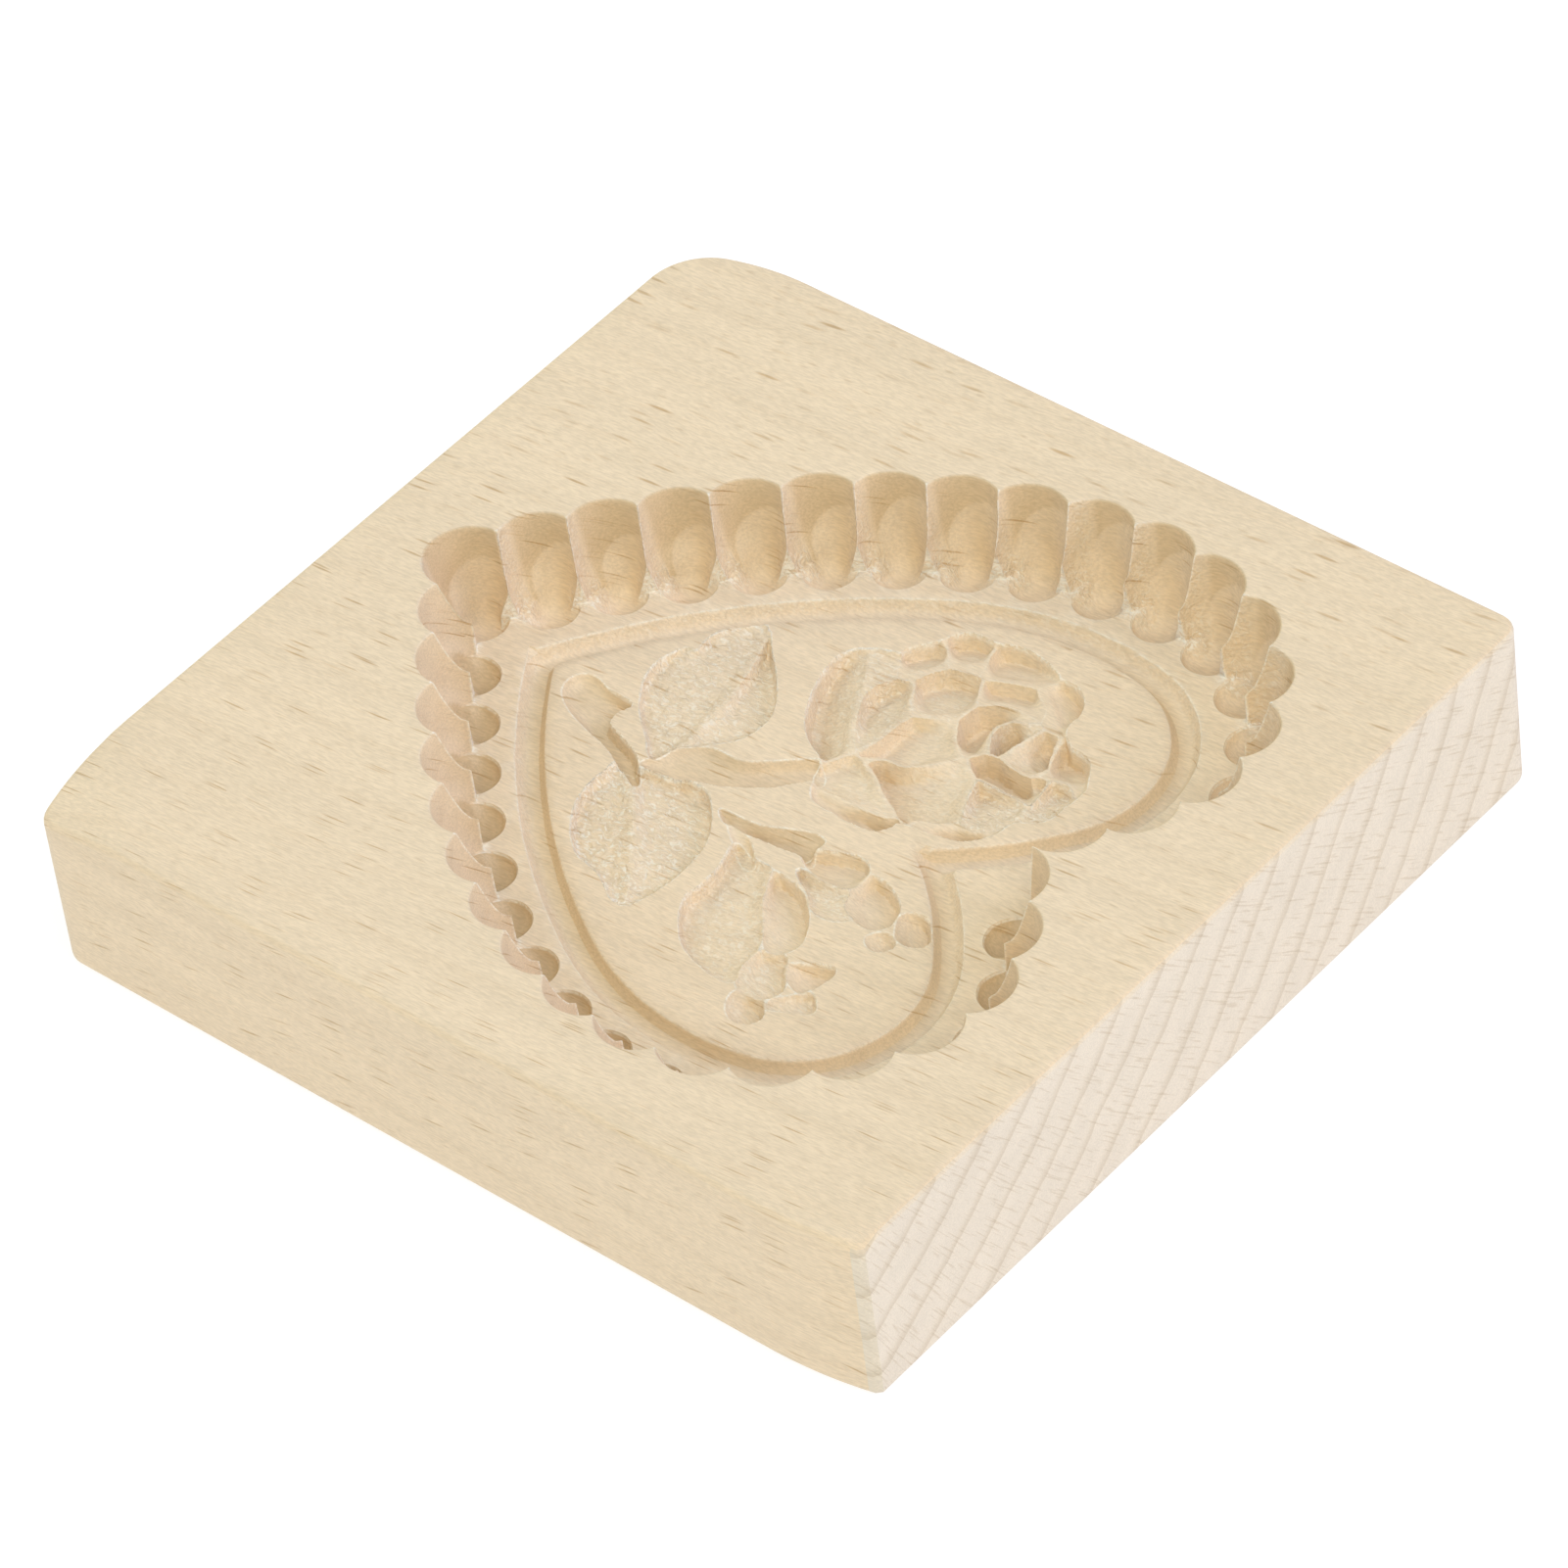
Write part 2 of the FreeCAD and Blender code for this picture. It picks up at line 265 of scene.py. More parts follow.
def thinned(points: np.ndarray, distance: float) -> np.ndarray:
    """Keep one point in each cell of a fine grid.

    Args:
        points: rows of x, y.
        distance: the width of a cell.

    Returns:
        The kept rows.
    """
    _, first = np.unique(np.round(points / distance), axis=0, return_index=True)
    return points[np.sort(first)]


class MeshStock:
    """Collects points and faces from every part of the board and welds them into one mesh."""

    def __init__(self) -> None:
        """Start with nothing collected."""
        self.points: list[np.ndarray] = []
        self.faces: list[np.ndarray] = []
        self.kinds: list[np.ndarray] = []
        self.marks: list[np.ndarray] = []
        self.count = 0

    def add(self, points: np.ndarray, faces: np.ndarray, finish: Finish,
            marks: np.ndarray | None = None) -> None:
        """Add points and the triangles between them.

        Args:
            points: rows of x, y, z.
            faces: rows of three point numbers, counted within these points.
            finish: the faces' finish.
            marks: rows of the fibres' tearing with painted light and shade, and of the painted highlight
                along edges.
        """
        self.points.append(points)
        self.faces.append(faces + self.count)
        self.kinds.append(np.full(len(faces), finish.value))
        self.marks.append(np.zeros((len(points), 2)) if marks is None else marks)
        self.count += len(points)

    def add_grid(self, grid: np.ndarray, finish: Finish, marks: np.ndarray | None = None) -> None:
        """Add a grid of points as triangles.

        Args:
            grid: points in rows and columns, with x, y, z last.
            finish: the faces' finish.
            marks: the marks, in the same rows and columns.
        """
        rows, columns, _ = grid.shape
        number = np.arange(rows * columns).reshape(rows, columns)
        a, b = number[:-1, :-1].ravel(), number[:-1, 1:].ravel()
        c, d = number[1:, 1:].ravel(), number[1:, :-1].ravel()
        faces = np.concatenate([np.stack([a, b, c], 1), np.stack([a, c, d], 1)])
        self.add(grid.reshape(-1, 3), faces, finish, None if marks is None else marks.reshape(-1, 2))

    def add_plan(self, loops: list[np.ndarray], inner: np.ndarray, height: Height, finish: Finish,
                 marks: Height | None = None, down: bool = False) -> None:
        """Add a surface over the plan inside the first loop and outside the others.

        Args:
            loops: closed loops as rows of x, y, the outer one first.
            inner: points between them, as rows of x, y.
            height: gives z from x and y.
            finish: the faces' finish.
            marks: gives the marks from x and y.
            down: whether the faces look down.
        """
        edges, count = [], 0
        for loop in loops:
            number = np.arange(len(loop)) + count
            edges += list(zip(number.tolist(), np.roll(number, -1).tolist()))
            count += len(loop)
        flat = np.concatenate([*loops, inner])
        made = delaunay_2d_cdt([Vector(spot) for spot in flat.tolist()], edges, [], 0, 1e-5)
        spots = np.array([tuple(spot) for spot in made[0]])
        for number, given in enumerate(made[3]):
            if given:
                spots[number] = flat[given[0]]
        faces = np.array(made[2])
        middle = spots[faces].mean(axis=1)
        keep = inside_loop(middle, loops[0])
        for hole in loops[1:]:
            keep &= ~inside_loop(middle, hole)
        faces = faces[keep]
        corner = spots[faces]
        side = corner[:, 1] - corner[:, 0]
        other = corner[:, 2] - corner[:, 0]
        wrong = (side[:, 0] * other[:, 1] < side[:, 1] * other[:, 0]) != down
        faces[wrong] = faces[wrong][:, ::-1]
        points = np.column_stack([spots, height(*spots.T)])
        self.add(points, faces, finish, None if marks is None else marks(*spots.T))

    def welded(self) -> tuple[np.ndarray, np.ndarray, np.ndarray, np.ndarray]:
        """Join points that coincide and drop faces that vanish.

        Returns:
            The points, the faces, the finish of each face and the marks at each point.
        """
        points = np.concatenate(self.points)
        faces = np.concatenate(self.faces)
        kinds = np.concatenate(self.kinds)
        marks = np.concatenate(self.marks)
        cells = np.round(points / WELD_CELL)
        _, first, back = np.unique(cells, axis=0, return_index=True, return_inverse=True)
        faces = back.reshape(-1)[faces]
        one, two, three = faces.T
        whole = (one != two) & (two != three) & (one != three)
        return points[first], faces[whole], kinds[whole], marks[first]


@dataclass(frozen=True)
class Board:
    """The planed block with its uneven corners, seen in plan."""

    length: float = 103.0
    width: float = 100.0
    thickness: float = 20.0
    edge_round: float = 0.7
    arris: float = 0.6
    far_corner: tuple[Spot, ...] = ((7.0, 72.0), (30.0, 18.0))
    left_corner: tuple[Spot, ...] = ((2.5, 76.0), (35.0, 14.0))
    right_corner: tuple[Spot, ...] = ((2.2, 90.0),)
    front_corner: tuple[Spot, ...] = ((50.0, 13.5),)
    left_flat: Spot = (13.0, 1.6)
    front_flat: Spot = (4.0, 1.3)
    round_steps: int = 4
    side_levels: int = 8
    corner_step: float = 0.6
    edge_step: float = 2.0
    end_zone: float = 1.6
    bottom_rim: float = 0.8
    bottom_clear: float = 3.0
    bottom_spacing: float = 6.0

    def outline(self) -> np.ndarray:
        """Sample the board's outline, clockwise from the far end of the left side.

        Returns:
            Rows of x, y.
        """
        right, back = self.length / 2, self.width / 2
        step = self.corner_step
        runs = []
        for corner in (self.far_corner, self.right_corner, self.left_corner):
            runs.append(tangent_arcs((0.0, 0.0), 0.0, corner, step)[-1][0])
        front_cut = -tangent_arcs((0.0, 0.0), 0.0, self.front_corner, step)[-1][1]
        front_turn = math.radians(sum(degrees for _, degrees in self.front_corner))
        cheek = (right - self.arris, -back + front_cut)
        corners = np.concatenate([
            tangent_arcs((-right, back - runs[0]), math.pi / 2, self.far_corner, step),
            tangent_arcs((right - runs[1], back), 0.0, self.right_corner, step),
            np.array([[right, -back + front_cut + self.arris]]),
            tangent_arcs(cheek, front_turn - math.pi, self.front_corner, step),
            tangent_arcs((-right + runs[2], -back), math.pi, self.left_corner, step),
        ])
        rows = []
        for here, after in zip(corners, np.roll(corners, -1, axis=0)):
            count = max(1, round(math.dist(here, after) / self.edge_step))
            share = np.arange(count)[:, None] / count
            rows.append(here + (after - here) * share)
        return np.concatenate(rows)

    def top(self, x: np.ndarray, y: np.ndarray) -> np.ndarray:
        """Give the height of the carved face, with the flats dubbed at the two near corners.

        Args:
            x: the points' x.
            y: the points' y.

        Returns:
            The height at each point.
        """
        height = np.full(len(x), self.thickness)
        for sign, (reach, drop) in ((-1.0, self.left_flat), (1.0, self.front_flat)):
            along = self.length / 2 - sign * x + y + self.width / 2
            height = np.minimum(height, self.thickness - drop * (1.0 - along / reach))
        return height

    def add_shell(self, stock: MeshStock) -> np.ndarray:
        """Add the sides, the bottom and the eased edges.

        Args:
            stock: takes the mesh.

        Returns:
            The rim of the carved face, as rows of x, y.
        """
        outline = self.outline()
        lower, upper = [], []
        for k in range(self.round_steps + 1):
            angle = math.pi / 2 * k / self.round_steps
            inset = moved_loop(outline, self.edge_round * (1.0 - math.sin(angle)))
            rise = self.edge_round * (1.0 - math.cos(angle))
            lower.append(np.column_stack([inset, np.full(len(inset), rise)]))
            upper.insert(0, np.column_stack([inset, self.top(*inset.T) - rise]))
        rings = list(lower)
        for share in np.linspace(0.0, 1.0, self.side_levels)[1:-1]:
            rings.append(lower[-1] + (upper[0] - lower[-1]) * share)
        rings += upper
        grid = np.array([np.vstack([ring, ring[:1]]) for ring in rings])
        ends = np.abs(grid[0, :-1, 0] + grid[0, 1:, 0]) / 2 > self.length / 2 - self.end_zone
        eased = len(grid) - 1 - self.round_steps // 2
        for k in range(len(outline)):
            strip = grid[:, k : k + 2][:, ::-1]
            stock.add_grid(strip[: eased + 1], Finish.END_GRAIN if ends[k] else Finish.PLANED)
            stock.add_grid(strip[eased:], Finish.PLANED)
        bottom = lower[0][:, :2]
        plain = jittered(self.bottom_spacing, (-48.0, -46.0), (48.0, 46.0), 17)
        plain = plain[inside_loop(plain, moved_loop(bottom, self.bottom_clear))]
        inner = np.concatenate([moved_loop(bottom, self.bottom_rim), plain])
        stock.add_plan([bottom], inner, lambda x, y: np.zeros(len(x)), Finish.PLANED, down=True)
        return upper[-1][:, :2]


@dataclass
class FluteRing:
    """The ring of upright flutes round the heart."""

    line: tuple[Spot, ...] = ((-39.0, 0.0), (-25.6, 15.8), (-9.8, 29.1), (9.4, 37.0),
                              (23.1, 36.7), (34.4, 29.4), (38.1, 16.3), (32.0, 4.5))
    per_side: int = 17
    mouth_radius: float = 4.42
    ledge_radius: float = 2.85
    top: float = 20.0
    ledge: float = 11.0
    nose_depth: float = 1.6
    arc_steps: int = 30
    wall_levels: int = 22
    first_foot: float = 2.1
    first_shift: float = 0.7
    second_shift: float = 0.5
    lean: float = 68.0
    fullness: float = 2.5
    rim_wider: tuple[Spot, ...] = ((0.0, 0.15), (0.05, 0.05))
    wall_start: float = 0.18
    near_reach: float = 64.0
    far_reach: float = 74.0
    end_blend: float = 14.0
    foot_zone: float = 3.4
    foot_blend: float = 3.0
    ridge_join: float = 0.02
    tear_angle: float = 78.0
    tear_out: float = 2.6
    tear_size: float = 2.2
    centres: np.ndarray = field(init=False)
    facing: np.ndarray = field(init=False)
    side: np.ndarray = field(init=False)
    toward: np.ndarray = field(init=False)
    tall: np.ndarray = field(init=False)
    noses: np.ndarray = field(init=False)
    bowl: np.ndarray = field(init=False)

    def __post_init__(self) -> None:
        """Place the flutes evenly along the heart, one side and its mirror."""
        rows = np.array(self.line)
        run = np.concatenate([[0.0], np.cumsum(np.hypot(*np.diff(rows, axis=0).T))])
        fine = np.linspace(0.0, run[-1], 2000)
        curve = np.stack([spline_through(run, rows[:, k], fine) for k in (0, 1)], axis=1)
        length = np.concatenate([[0.0], np.cumsum(np.hypot(*np.diff(curve, axis=0).T))])
        at = np.linspace(0.0, length[-1], self.per_side + 1)
        half = np.stack([np.interp(at, length, curve[:, k]) for k in (0, 1)], axis=1)
        self.centres = np.concatenate([half, half[:0:-1] * np.array([1.0, -1.0])])
        along = np.roll(self.centres, -1, axis=0) - np.roll(self.centres, 1, axis=0)
        self.facing = np.arctan2(along[:, 0], -along[:, 1])
        self.side = np.where(np.arange(len(self.centres)) <= self.per_side, -1.0, 1.0)
        chance = np.random.default_rng(5).uniform(-0.5, 0.5, (2, len(self.centres)))
        self.toward = self.side * np.radians(self.lean + 24.0 * chance[0])
        rising = smooth_step(self.centres[:, 0] / 36.0 + 0.7)
        self.tall = np.minimum(5.8 + 2.0 * rising + 1.4 * chance[1], 8.2)
        angle = self.facing + self.toward
        rise = (self.mouth_radius - self.first_foot) / (self.top - self.ledge)
        fade = 1.0 - (self.tall / (self.top - self.ledge)) ** 2
        self.bowl = self.first_foot + rise * self.tall - self.first_shift * fade - self.second_shift
        self.noses = self.centres + self.second_shift * np.stack([np.cos(angle), np.sin(angle)], axis=1)

    def radius(self, z: float) -> float:
        """Give a flute's radius at a height."""
        share = (self.top - z) / (self.top - self.ledge)
        return self.mouth_radius + (self.ledge_radius - self.mouth_radius) * share

    def reach(self, number: int, turn: np.ndarray, z: float) -> tuple[np.ndarray, np.ndarray]:
        """Give how far the two gouge cuts of a flute reach from its centre.

        The first cut tapers down towards the tip side, the second rises in an arch on the lobe side.

        Args:
            number: the flute's number.
            turn: angles from the flute's outward direction.
            z: the height.

        Returns:
            The reach at each angle, and the tone, from -1 to 1: painted light, grey, on the side of a
            far flute that faces the light, painted shade, brown, on the side turned from it, and none on
            the near flutes.
        """
        level, tall = z - self.ledge, self.tall[number]
        turn = turn - self.toward[number]
        rise = (self.mouth_radius - self.first_foot) / (self.top - self.ledge)
        first = self.first_foot + rise * level
        sunk = max(0.0, (tall - level) / (tall + self.nose_depth))
        second = self.bowl[number] * (1.0 - sunk**self.fullness) ** (1.0 / self.fullness)

        def cut(radius: float, shift: float) -> np.ndarray:
            """Give the reach of a round cut shifted from the flute's centre."""
            across = shift * np.sin(turn)
            return shift * np.cos(turn) + np.sqrt(np.maximum(radius**2 - across**2, 0.0))

        fade = 1.0 - (level / (self.top - self.ledge)) ** 2
        one, other = cut(first, -self.first_shift * fade), cut(second, self.second_shift)
        if self.side[number] > 0:
            return np.maximum(one, other), np.zeros(len(turn))
        # Painted light and shade: one side of each far flute is painted grey as if lit, the rest brown
        # as if shaded; the second cut's arch gets weaker painted tones.
        pale = 0.42 - 1.12 * smooth_step((np.cos(turn) + 0.5) / 0.4)
        arch = 0.1 - 0.15 * smooth_step((np.cos(turn) - 0.3) / 0.7)
        return np.maximum(one, other), pale + (arch - pale) * smooth_step((other - one + 0.05) / 0.1)

    def span(self, number: int, radius: float) -> Spot:
        """Find where a flute's arc meets its neighbours' arcs.

        Args:
            number: the flute's number.
            radius: the flutes' radius at the contour.

        Returns:
            The first and the last angle of the arc, from the flute's outward direction.
        """
        ends = []
        for other in (self.centres[number - 1], self.centres[(number + 1) % len(self.centres)]):
            gap = other - self.centres[number]
            angle = math.atan2(gap[1], gap[0])
            lean = math.acos(min(1.0, float(np.hypot(*gap)) / 2 / radius))
            outward = math.remainder(self.facing[number] - angle, math.tau)
            meeting = angle + math.copysign(lean, outward)
            ends.append(math.remainder(meeting - self.facing[number], math.tau))
        widest = math.radians(self.near_reach if self.side[number] > 0 else self.far_reach)
        return max(ends[0], -widest), min(ends[1], widest)

    def ring(self, radius: float, z: float | None = None) -> tuple[np.ndarray, np.ndarray]:
        """Sample the scalloped contour of one radius.

        Args:
            radius: the flutes' radius at the contour.
            z: the contour's height, where the second cuts count.

        Returns:
            Rows of x, y, for each flute its arc and the middle of the next ridge, and their tones of
            painted light and shade.
        """
        arcs, tones = [], []
        count = len(self.centres)
        for k, centre in enumerate(self.centres):
            first, last = self.span(k, radius)
            turn = np.linspace(first, last, self.arc_steps + 1)
            reach, tone = np.full(len(turn), radius), np.zeros(len(turn))
            if z is not None:
                low = float(smooth_step(np.array((self.ledge + self.foot_zone - z) / self.foot_blend)))
                from_end = np.minimum(turn - first, last - turn)
                held = np.maximum(smooth_step(from_end / math.radians(self.end_blend)), low)
                wanted, tone = self.reach(k, turn, z)
                reach += (wanted - radius) * held
            tones += [tone, tone[-1:]]
            angle = turn + self.facing[k]
            arcs.append(centre + reach[:, None] * np.stack([np.cos(angle), np.sin(angle)], axis=1))
        rows = []
        for k in range(count):
            here, after = arcs[k][-1], arcs[(k + 1) % count][0]
            middle = (here + after) / 2
            if np.hypot(*(after - here)) < self.ridge_join:
                arcs[k][-1] = middle
                arcs[(k + 1) % count][0] = middle
            rows += [arcs[k], middle[None]]
        rows[0] = arcs[0]
        return np.concatenate(rows), np.concatenate(tones)

    def levels(self) -> list[tuple[float, float]]:
        """List the walls' contours, from the eased rim down to the ledge.

        Returns:
            The height and the flutes' radius of each.
        """
        found = [(self.top - drop, self.mouth_radius + wider) for drop, wider in self.rim_wider]
        for z in np.linspace(self.top - self.wall_start, self.ledge, self.wall_levels):
            found.append((float(z), self.radius(float(z))))
        return found

    def add_walls(self, stock: MeshStock, floor: Height) -> tuple[np.ndarray, np.ndarray]:
        """Add the flutes' walls.

        Args:
            stock: takes the mesh.
            floor: gives the height of the hollow's floor.

        Returns:
            The rim and the foot of the walls, as rows of x, y.
        """
        rings, tones = [], []
        for z, radius in self.levels():
            ring, tone = self.ring(radius, z)
            rings.append(np.column_stack([ring, np.full(len(ring), z)]))
            tones.append(np.append(tone, tone[0]))
        rings[-1][:, 2] = floor(*rings[-1][:, :2].T)
        grid = np.array([np.vstack([ring, ring[:1]]) for ring in rings])
        marks = np.zeros((*grid.shape[:2], 2))
        # The first mark takes the tearing, the near noses' painted shade or the far flutes' painted
        # light and shade, whichever is stronger.
        tear_and_painted_light = self.tear_and_painted_light(*grid.reshape(-1, 3).T).reshape(grid.shape[:2])
        marks[..., 0] = np.where(np.abs(tear_and_painted_light) > np.abs(tones), tear_and_painted_light, tones)
        # Painted highlight: the ridges between flutes, and more faintly the eased rim, are marked for a
        # whitish line.
        column = np.arange(grid.shape[1]) % (self.arc_steps + 2)
        marks[:, (column == 0) | (column >= self.arc_steps), 1] = 1.0
        marks[:2, :, 1] = np.maximum(marks[:2, :, 1], 0.35)
        stock.add_grid(grid[:, ::-1], Finish.CARVED, marks[:, ::-1])
        return rings[0][:, :2], rings[-1][:, :2]

    def tear_and_painted_light(self, x: np.ndarray, y: np.ndarray, z: np.ndarray) -> np.ndarray:
        """Give the fibres' tearing at the far ridges' feet, and painted shade in the near noses, which
        lie in the near wall's shadow.

        Args:
            x: the points' x.
            y: the points' y.
            z: the points' heights.

        Returns:
            Values from -1, painted shade in brown, to 1, tearing in grey.
        """
        most, nose_shade = np.zeros(len(x)), np.zeros(len(x))
        for k, (cx, cy) in enumerate(self.centres):
            if self.side[k] < 0:
                angle = self.facing[k] + math.radians(self.tear_angle)
                across, along = self.tear_out * math.cos(angle), self.tear_out * math.sin(angle)
                away = np.hypot(x - cx - across, y - cy - along)
                most = np.maximum(most, smooth_step(1.25 - away / self.tear_size))
            else:
                # Painted shade: the near flutes' noses are browned as if in the near wall's shadow.
                away = np.hypot(x - self.noses[k, 0], y - self.noses[k, 1])
                nose_shade = np.maximum(nose_shade, smooth_step((self.ledge_radius + 0.1 - away) / 0.2))
        most *= smooth_step((self.ledge + 2.6 - z) / 2.4)
        nose_shade *= smooth_step((self.ledge + 2.4 - z) / 2.0)
        return np.where(most > 0.0, most, -nose_shade)

    def depth(self, x: np.ndarray, y: np.ndarray) -> np.ndarray:
        """Give the depth of the flutes' round noses below the ledge.

        Args:
            x: the points' x.
            y: the points' y.

        Returns:
            The depth at each point.
        """
        deepest = np.zeros(len(x))
        for k, (cx, cy) in enumerate(self.noses):
            found = np.flatnonzero(np.hypot(x - cx, y - cy) < self.ledge_radius * 1.2)
            gone = np.hypot(x[found] - cx, y[found] - cy)
            outward = np.minimum(gone / self.ledge_radius * 1.0005, 1.0)
            nose = self.nose_depth * (1.0 - outward**2.4) ** 0.55
            part = 1.0 - np.minimum(gone / self.bowl[k], 1.0) ** self.fullness
            swept = (self.tall[k] + self.nose_depth) * part ** (1.0 / self.fullness) - self.tall[k]
            cosine = np.cos(np.arctan2(y[found] - cy, x[found] - cx) - self.facing[k])
            outer = smooth_step((cosine + 0.75) / 0.9)
            depth = outer * np.maximum(swept, 0.0) + (1.0 - outer) * nose
            deepest[found] = np.maximum(deepest[found], depth)
        return deepest

    def crest_highlight(self, x: np.ndarray, y: np.ndarray) -> np.ndarray:
        """Give how near each point is to the rim of a nose, where a highlight is painted.

        Args:
            x: the points' x.
            y: the points' y.

        Returns:
            Values from 0 to 1.
        """
        nearest = np.full(len(x), 9.0)
        for cx, cy in self.noses:
            nearest = np.minimum(nearest, np.abs(np.hypot(x - cx, y - cy) - self.ledge_radius))
        return np.clip(1.0 - nearest / 0.14, 0.0, 1.0)

    def nose_lines(self) -> list[np.ndarray]:
        """Give the rings round each nose that the mesh follows.

        Returns:
            The rings as rows of x, y.
        """
        found = []
        for (cx, cy), facing in zip(self.noses, self.facing):
            for radius, count in ((2.93, 34), (2.82, 36), (2.7, 36)):
                turn = facing + np.linspace(math.pi * 0.38, math.pi * 1.62, count)
                found.append(np.stack([cx + radius * np.cos(turn), cy + radius * np.sin(turn)], axis=1))
            for radius, count in ((2.45, 40), (2.1, 34), (1.6, 26), (1.0, 16), (0.45, 7)):
                turn = facing + np.linspace(0.0, math.tau, count, endpoint=False)
                found.append(np.stack([cx + radius * np.cos(turn), cy + radius * np.sin(turn)], axis=1))
        return found


@dataclass(frozen=True)
class Groove:
    """The groove between the ledge and the raised pad: tangent arcs, mirrored on the middle line."""

    mouth: float = 3.0
    ledge_wall: float = 1.15
    pad_wall: float = 0.95
    depth_below: float = 1.4
    tip: float = -30.7
    heading: float = 58.4
    bends: tuple[Spot, ...] = ((79.0, 29.8), (32.5, 39.5), (13.6, 114.3), (42.3, 19.6))

    def offset(self, x: np.ndarray, y: np.ndarray) -> np.ndarray:
        """Give each point's distance from the groove's middle, positive towards the ledge.

        Args:
            x: the points' x.
            y: the points' y.

        Returns:
            The signed distances, held within 9 mm.
        """
        y = np.abs(y)
        signed = np.full(len(x), 9.0)
        px, py = self.tip, 0.0
        heading = math.radians(self.heading)
        for k, (radius, degrees) in enumerate(self.bends):
            cx, cy = px + radius * math.sin(heading), py - radius * math.cos(heading)
            sweep = math.radians(degrees)
            turned = (heading + math.pi / 2 - np.arctan2(y - cy, x - cx) + 0.4) % math.tau - 0.4
            low = -0.4 if k == 0 else 0.0
            high = sweep + 0.4 if k == len(self.bends) - 1 else sweep
            away = np.hypot(x - cx, y - cy) - radius
            closer = (turned >= low) & (turned <= high) & (np.abs(away) < np.abs(signed))
            signed = np.where(closer, away, signed)
            heading -= sweep
            px, py = cx - radius * math.sin(heading), cy + radius * math.cos(heading)
        return signed

    def depth(self, x: np.ndarray, y: np.ndarray) -> np.ndarray:
        """Give the depth of the groove below the pad.

        Args:
            x: the points' x.
            y: the points' y.

        Returns:
            The depth at each point.
        """
        side = self.offset(x, y)
        outer = np.clip((self.mouth / 2 - side) / self.ledge_wall, 0.0, 1.0)
        inner = np.clip((self.mouth / 2 + side) / self.pad_wall, 0.0, 1.0)
        return self.depth_below * np.sin(outer * math.pi / 2) ** 0.9 * np.sin(inner * math.pi / 2)

    def lines(self, spacing: float) -> list[np.ndarray]:
        """Give the lines that the mesh follows.

        Args:
            spacing: the distance between points.

        Returns:
            Lines as rows of x, y.
        """
        line = tangent_arcs((self.tip, 0.0), math.radians(self.heading), self.bends, spacing)
        along = np.gradient(line, axis=0)
        along /= np.linalg.norm(along, axis=1)[:, None]
        across = np.stack([-along[:, 1], along[:, 0]], axis=1)
        half = self.mouth / 2
        found = []
        for shift in (half + 0.08, half - 0.04, half - 0.2, half - 0.45, half - 0.75, half - 1.1, 0.0,
                      0.75 - half, 0.42 - half, 0.2 - half, 0.04 - half, -0.08 - half):
            beside = line + across * shift
            beside = beside[beside[:, 1] > 0.02]
            found += [beside, beside * np.array([1.0, -1.0])]
        return found


def inward_of(outline: tuple[Spot, ...], x: np.ndarray, y: np.ndarray, reach: float) -> np.ndarray:
    """Give each point's distance inside a rounded outline, negative outside.

    Args:
        outline: the spots that a smooth closed line runs through.
        x: the points' x.
        y: the points' y.
        reach: how far outside distances are worked out.

    Returns:
        The signed distances, -99 beyond the reach.
    """
    rounds = np.array(outline)
    rows = []
    for a, b, c, d in zip(*(np.roll(rounds, shift, axis=0) for shift in (1, 0, -1, -2))):
        count = max(2, round(math.dist(b, c) / 0.35))
        share = (np.arange(count) / count)[:, None]
        rows.append(0.5 * (2 * b + (c - a) * share + (2 * a - 5 * b + 4 * c - d) * share**2
                           + (3 * b - a - 3 * c + d) * share**3))
    loop = np.concatenate(rows)
    low, high = loop.min(axis=0) - reach, loop.max(axis=0) + reach
    signed = np.full(len(x), -99.0)
    found = np.flatnonzero((x > low[0]) & (x < high[0]) & (y > low[1]) & (y < high[1]))
    spots = np.stack([x[found], y[found]], axis=1)
    away = np.full(len(found), 99.0)
    for a, b in zip(loop, np.roll(loop, -1, axis=0)):
        run = b - a
        share = np.clip((spots - a) @ run / (run @ run), 0.0, 1.0)
        away = np.minimum(away, np.hypot(*(spots - a - share[:, None] * run).T))
    signed[found] = np.where(inside_loop(spots, loop), away, -away)
    return signed


@dataclass(frozen=True)
class Cut:
    """A gouged hollow in the pad, deep at one spot of its outline and shallow at another."""

    outline: tuple[Spot, ...]
    deep: Spot
    shallow: Spot
    deep_level: float
    shallow_level: float
    # A cut's tearing value sets how grey and ragged it looks: partly real tearing, partly painted light,
    # grey on cuts that face the light.
    tear_and_painted_light: float
    steep_wall: float = 0.5
    easy_wall: float = 1.7

    def level(self, x: np.ndarray, y: np.ndarray) -> tuple[np.ndarray, np.ndarray]:
        """Give the depth of the cut's floor and the width of its wall at each point.

        Args:
            x: the points' x.
            y: the points' y.

        Returns:
            The depths and the widths.
        """
        line = np.array(self.deep) - np.array(self.shallow)
        spots = np.stack([x, y], axis=1) - np.array(self.shallow)
        share = np.clip(spots @ line / (line @ line), 0.0, 1.0)
        level = self.shallow_level + (self.deep_level - self.shallow_level) * share
        return level, self.easy_wall + (self.steep_wall - self.easy_wall) * smooth_step(share * 1.3)


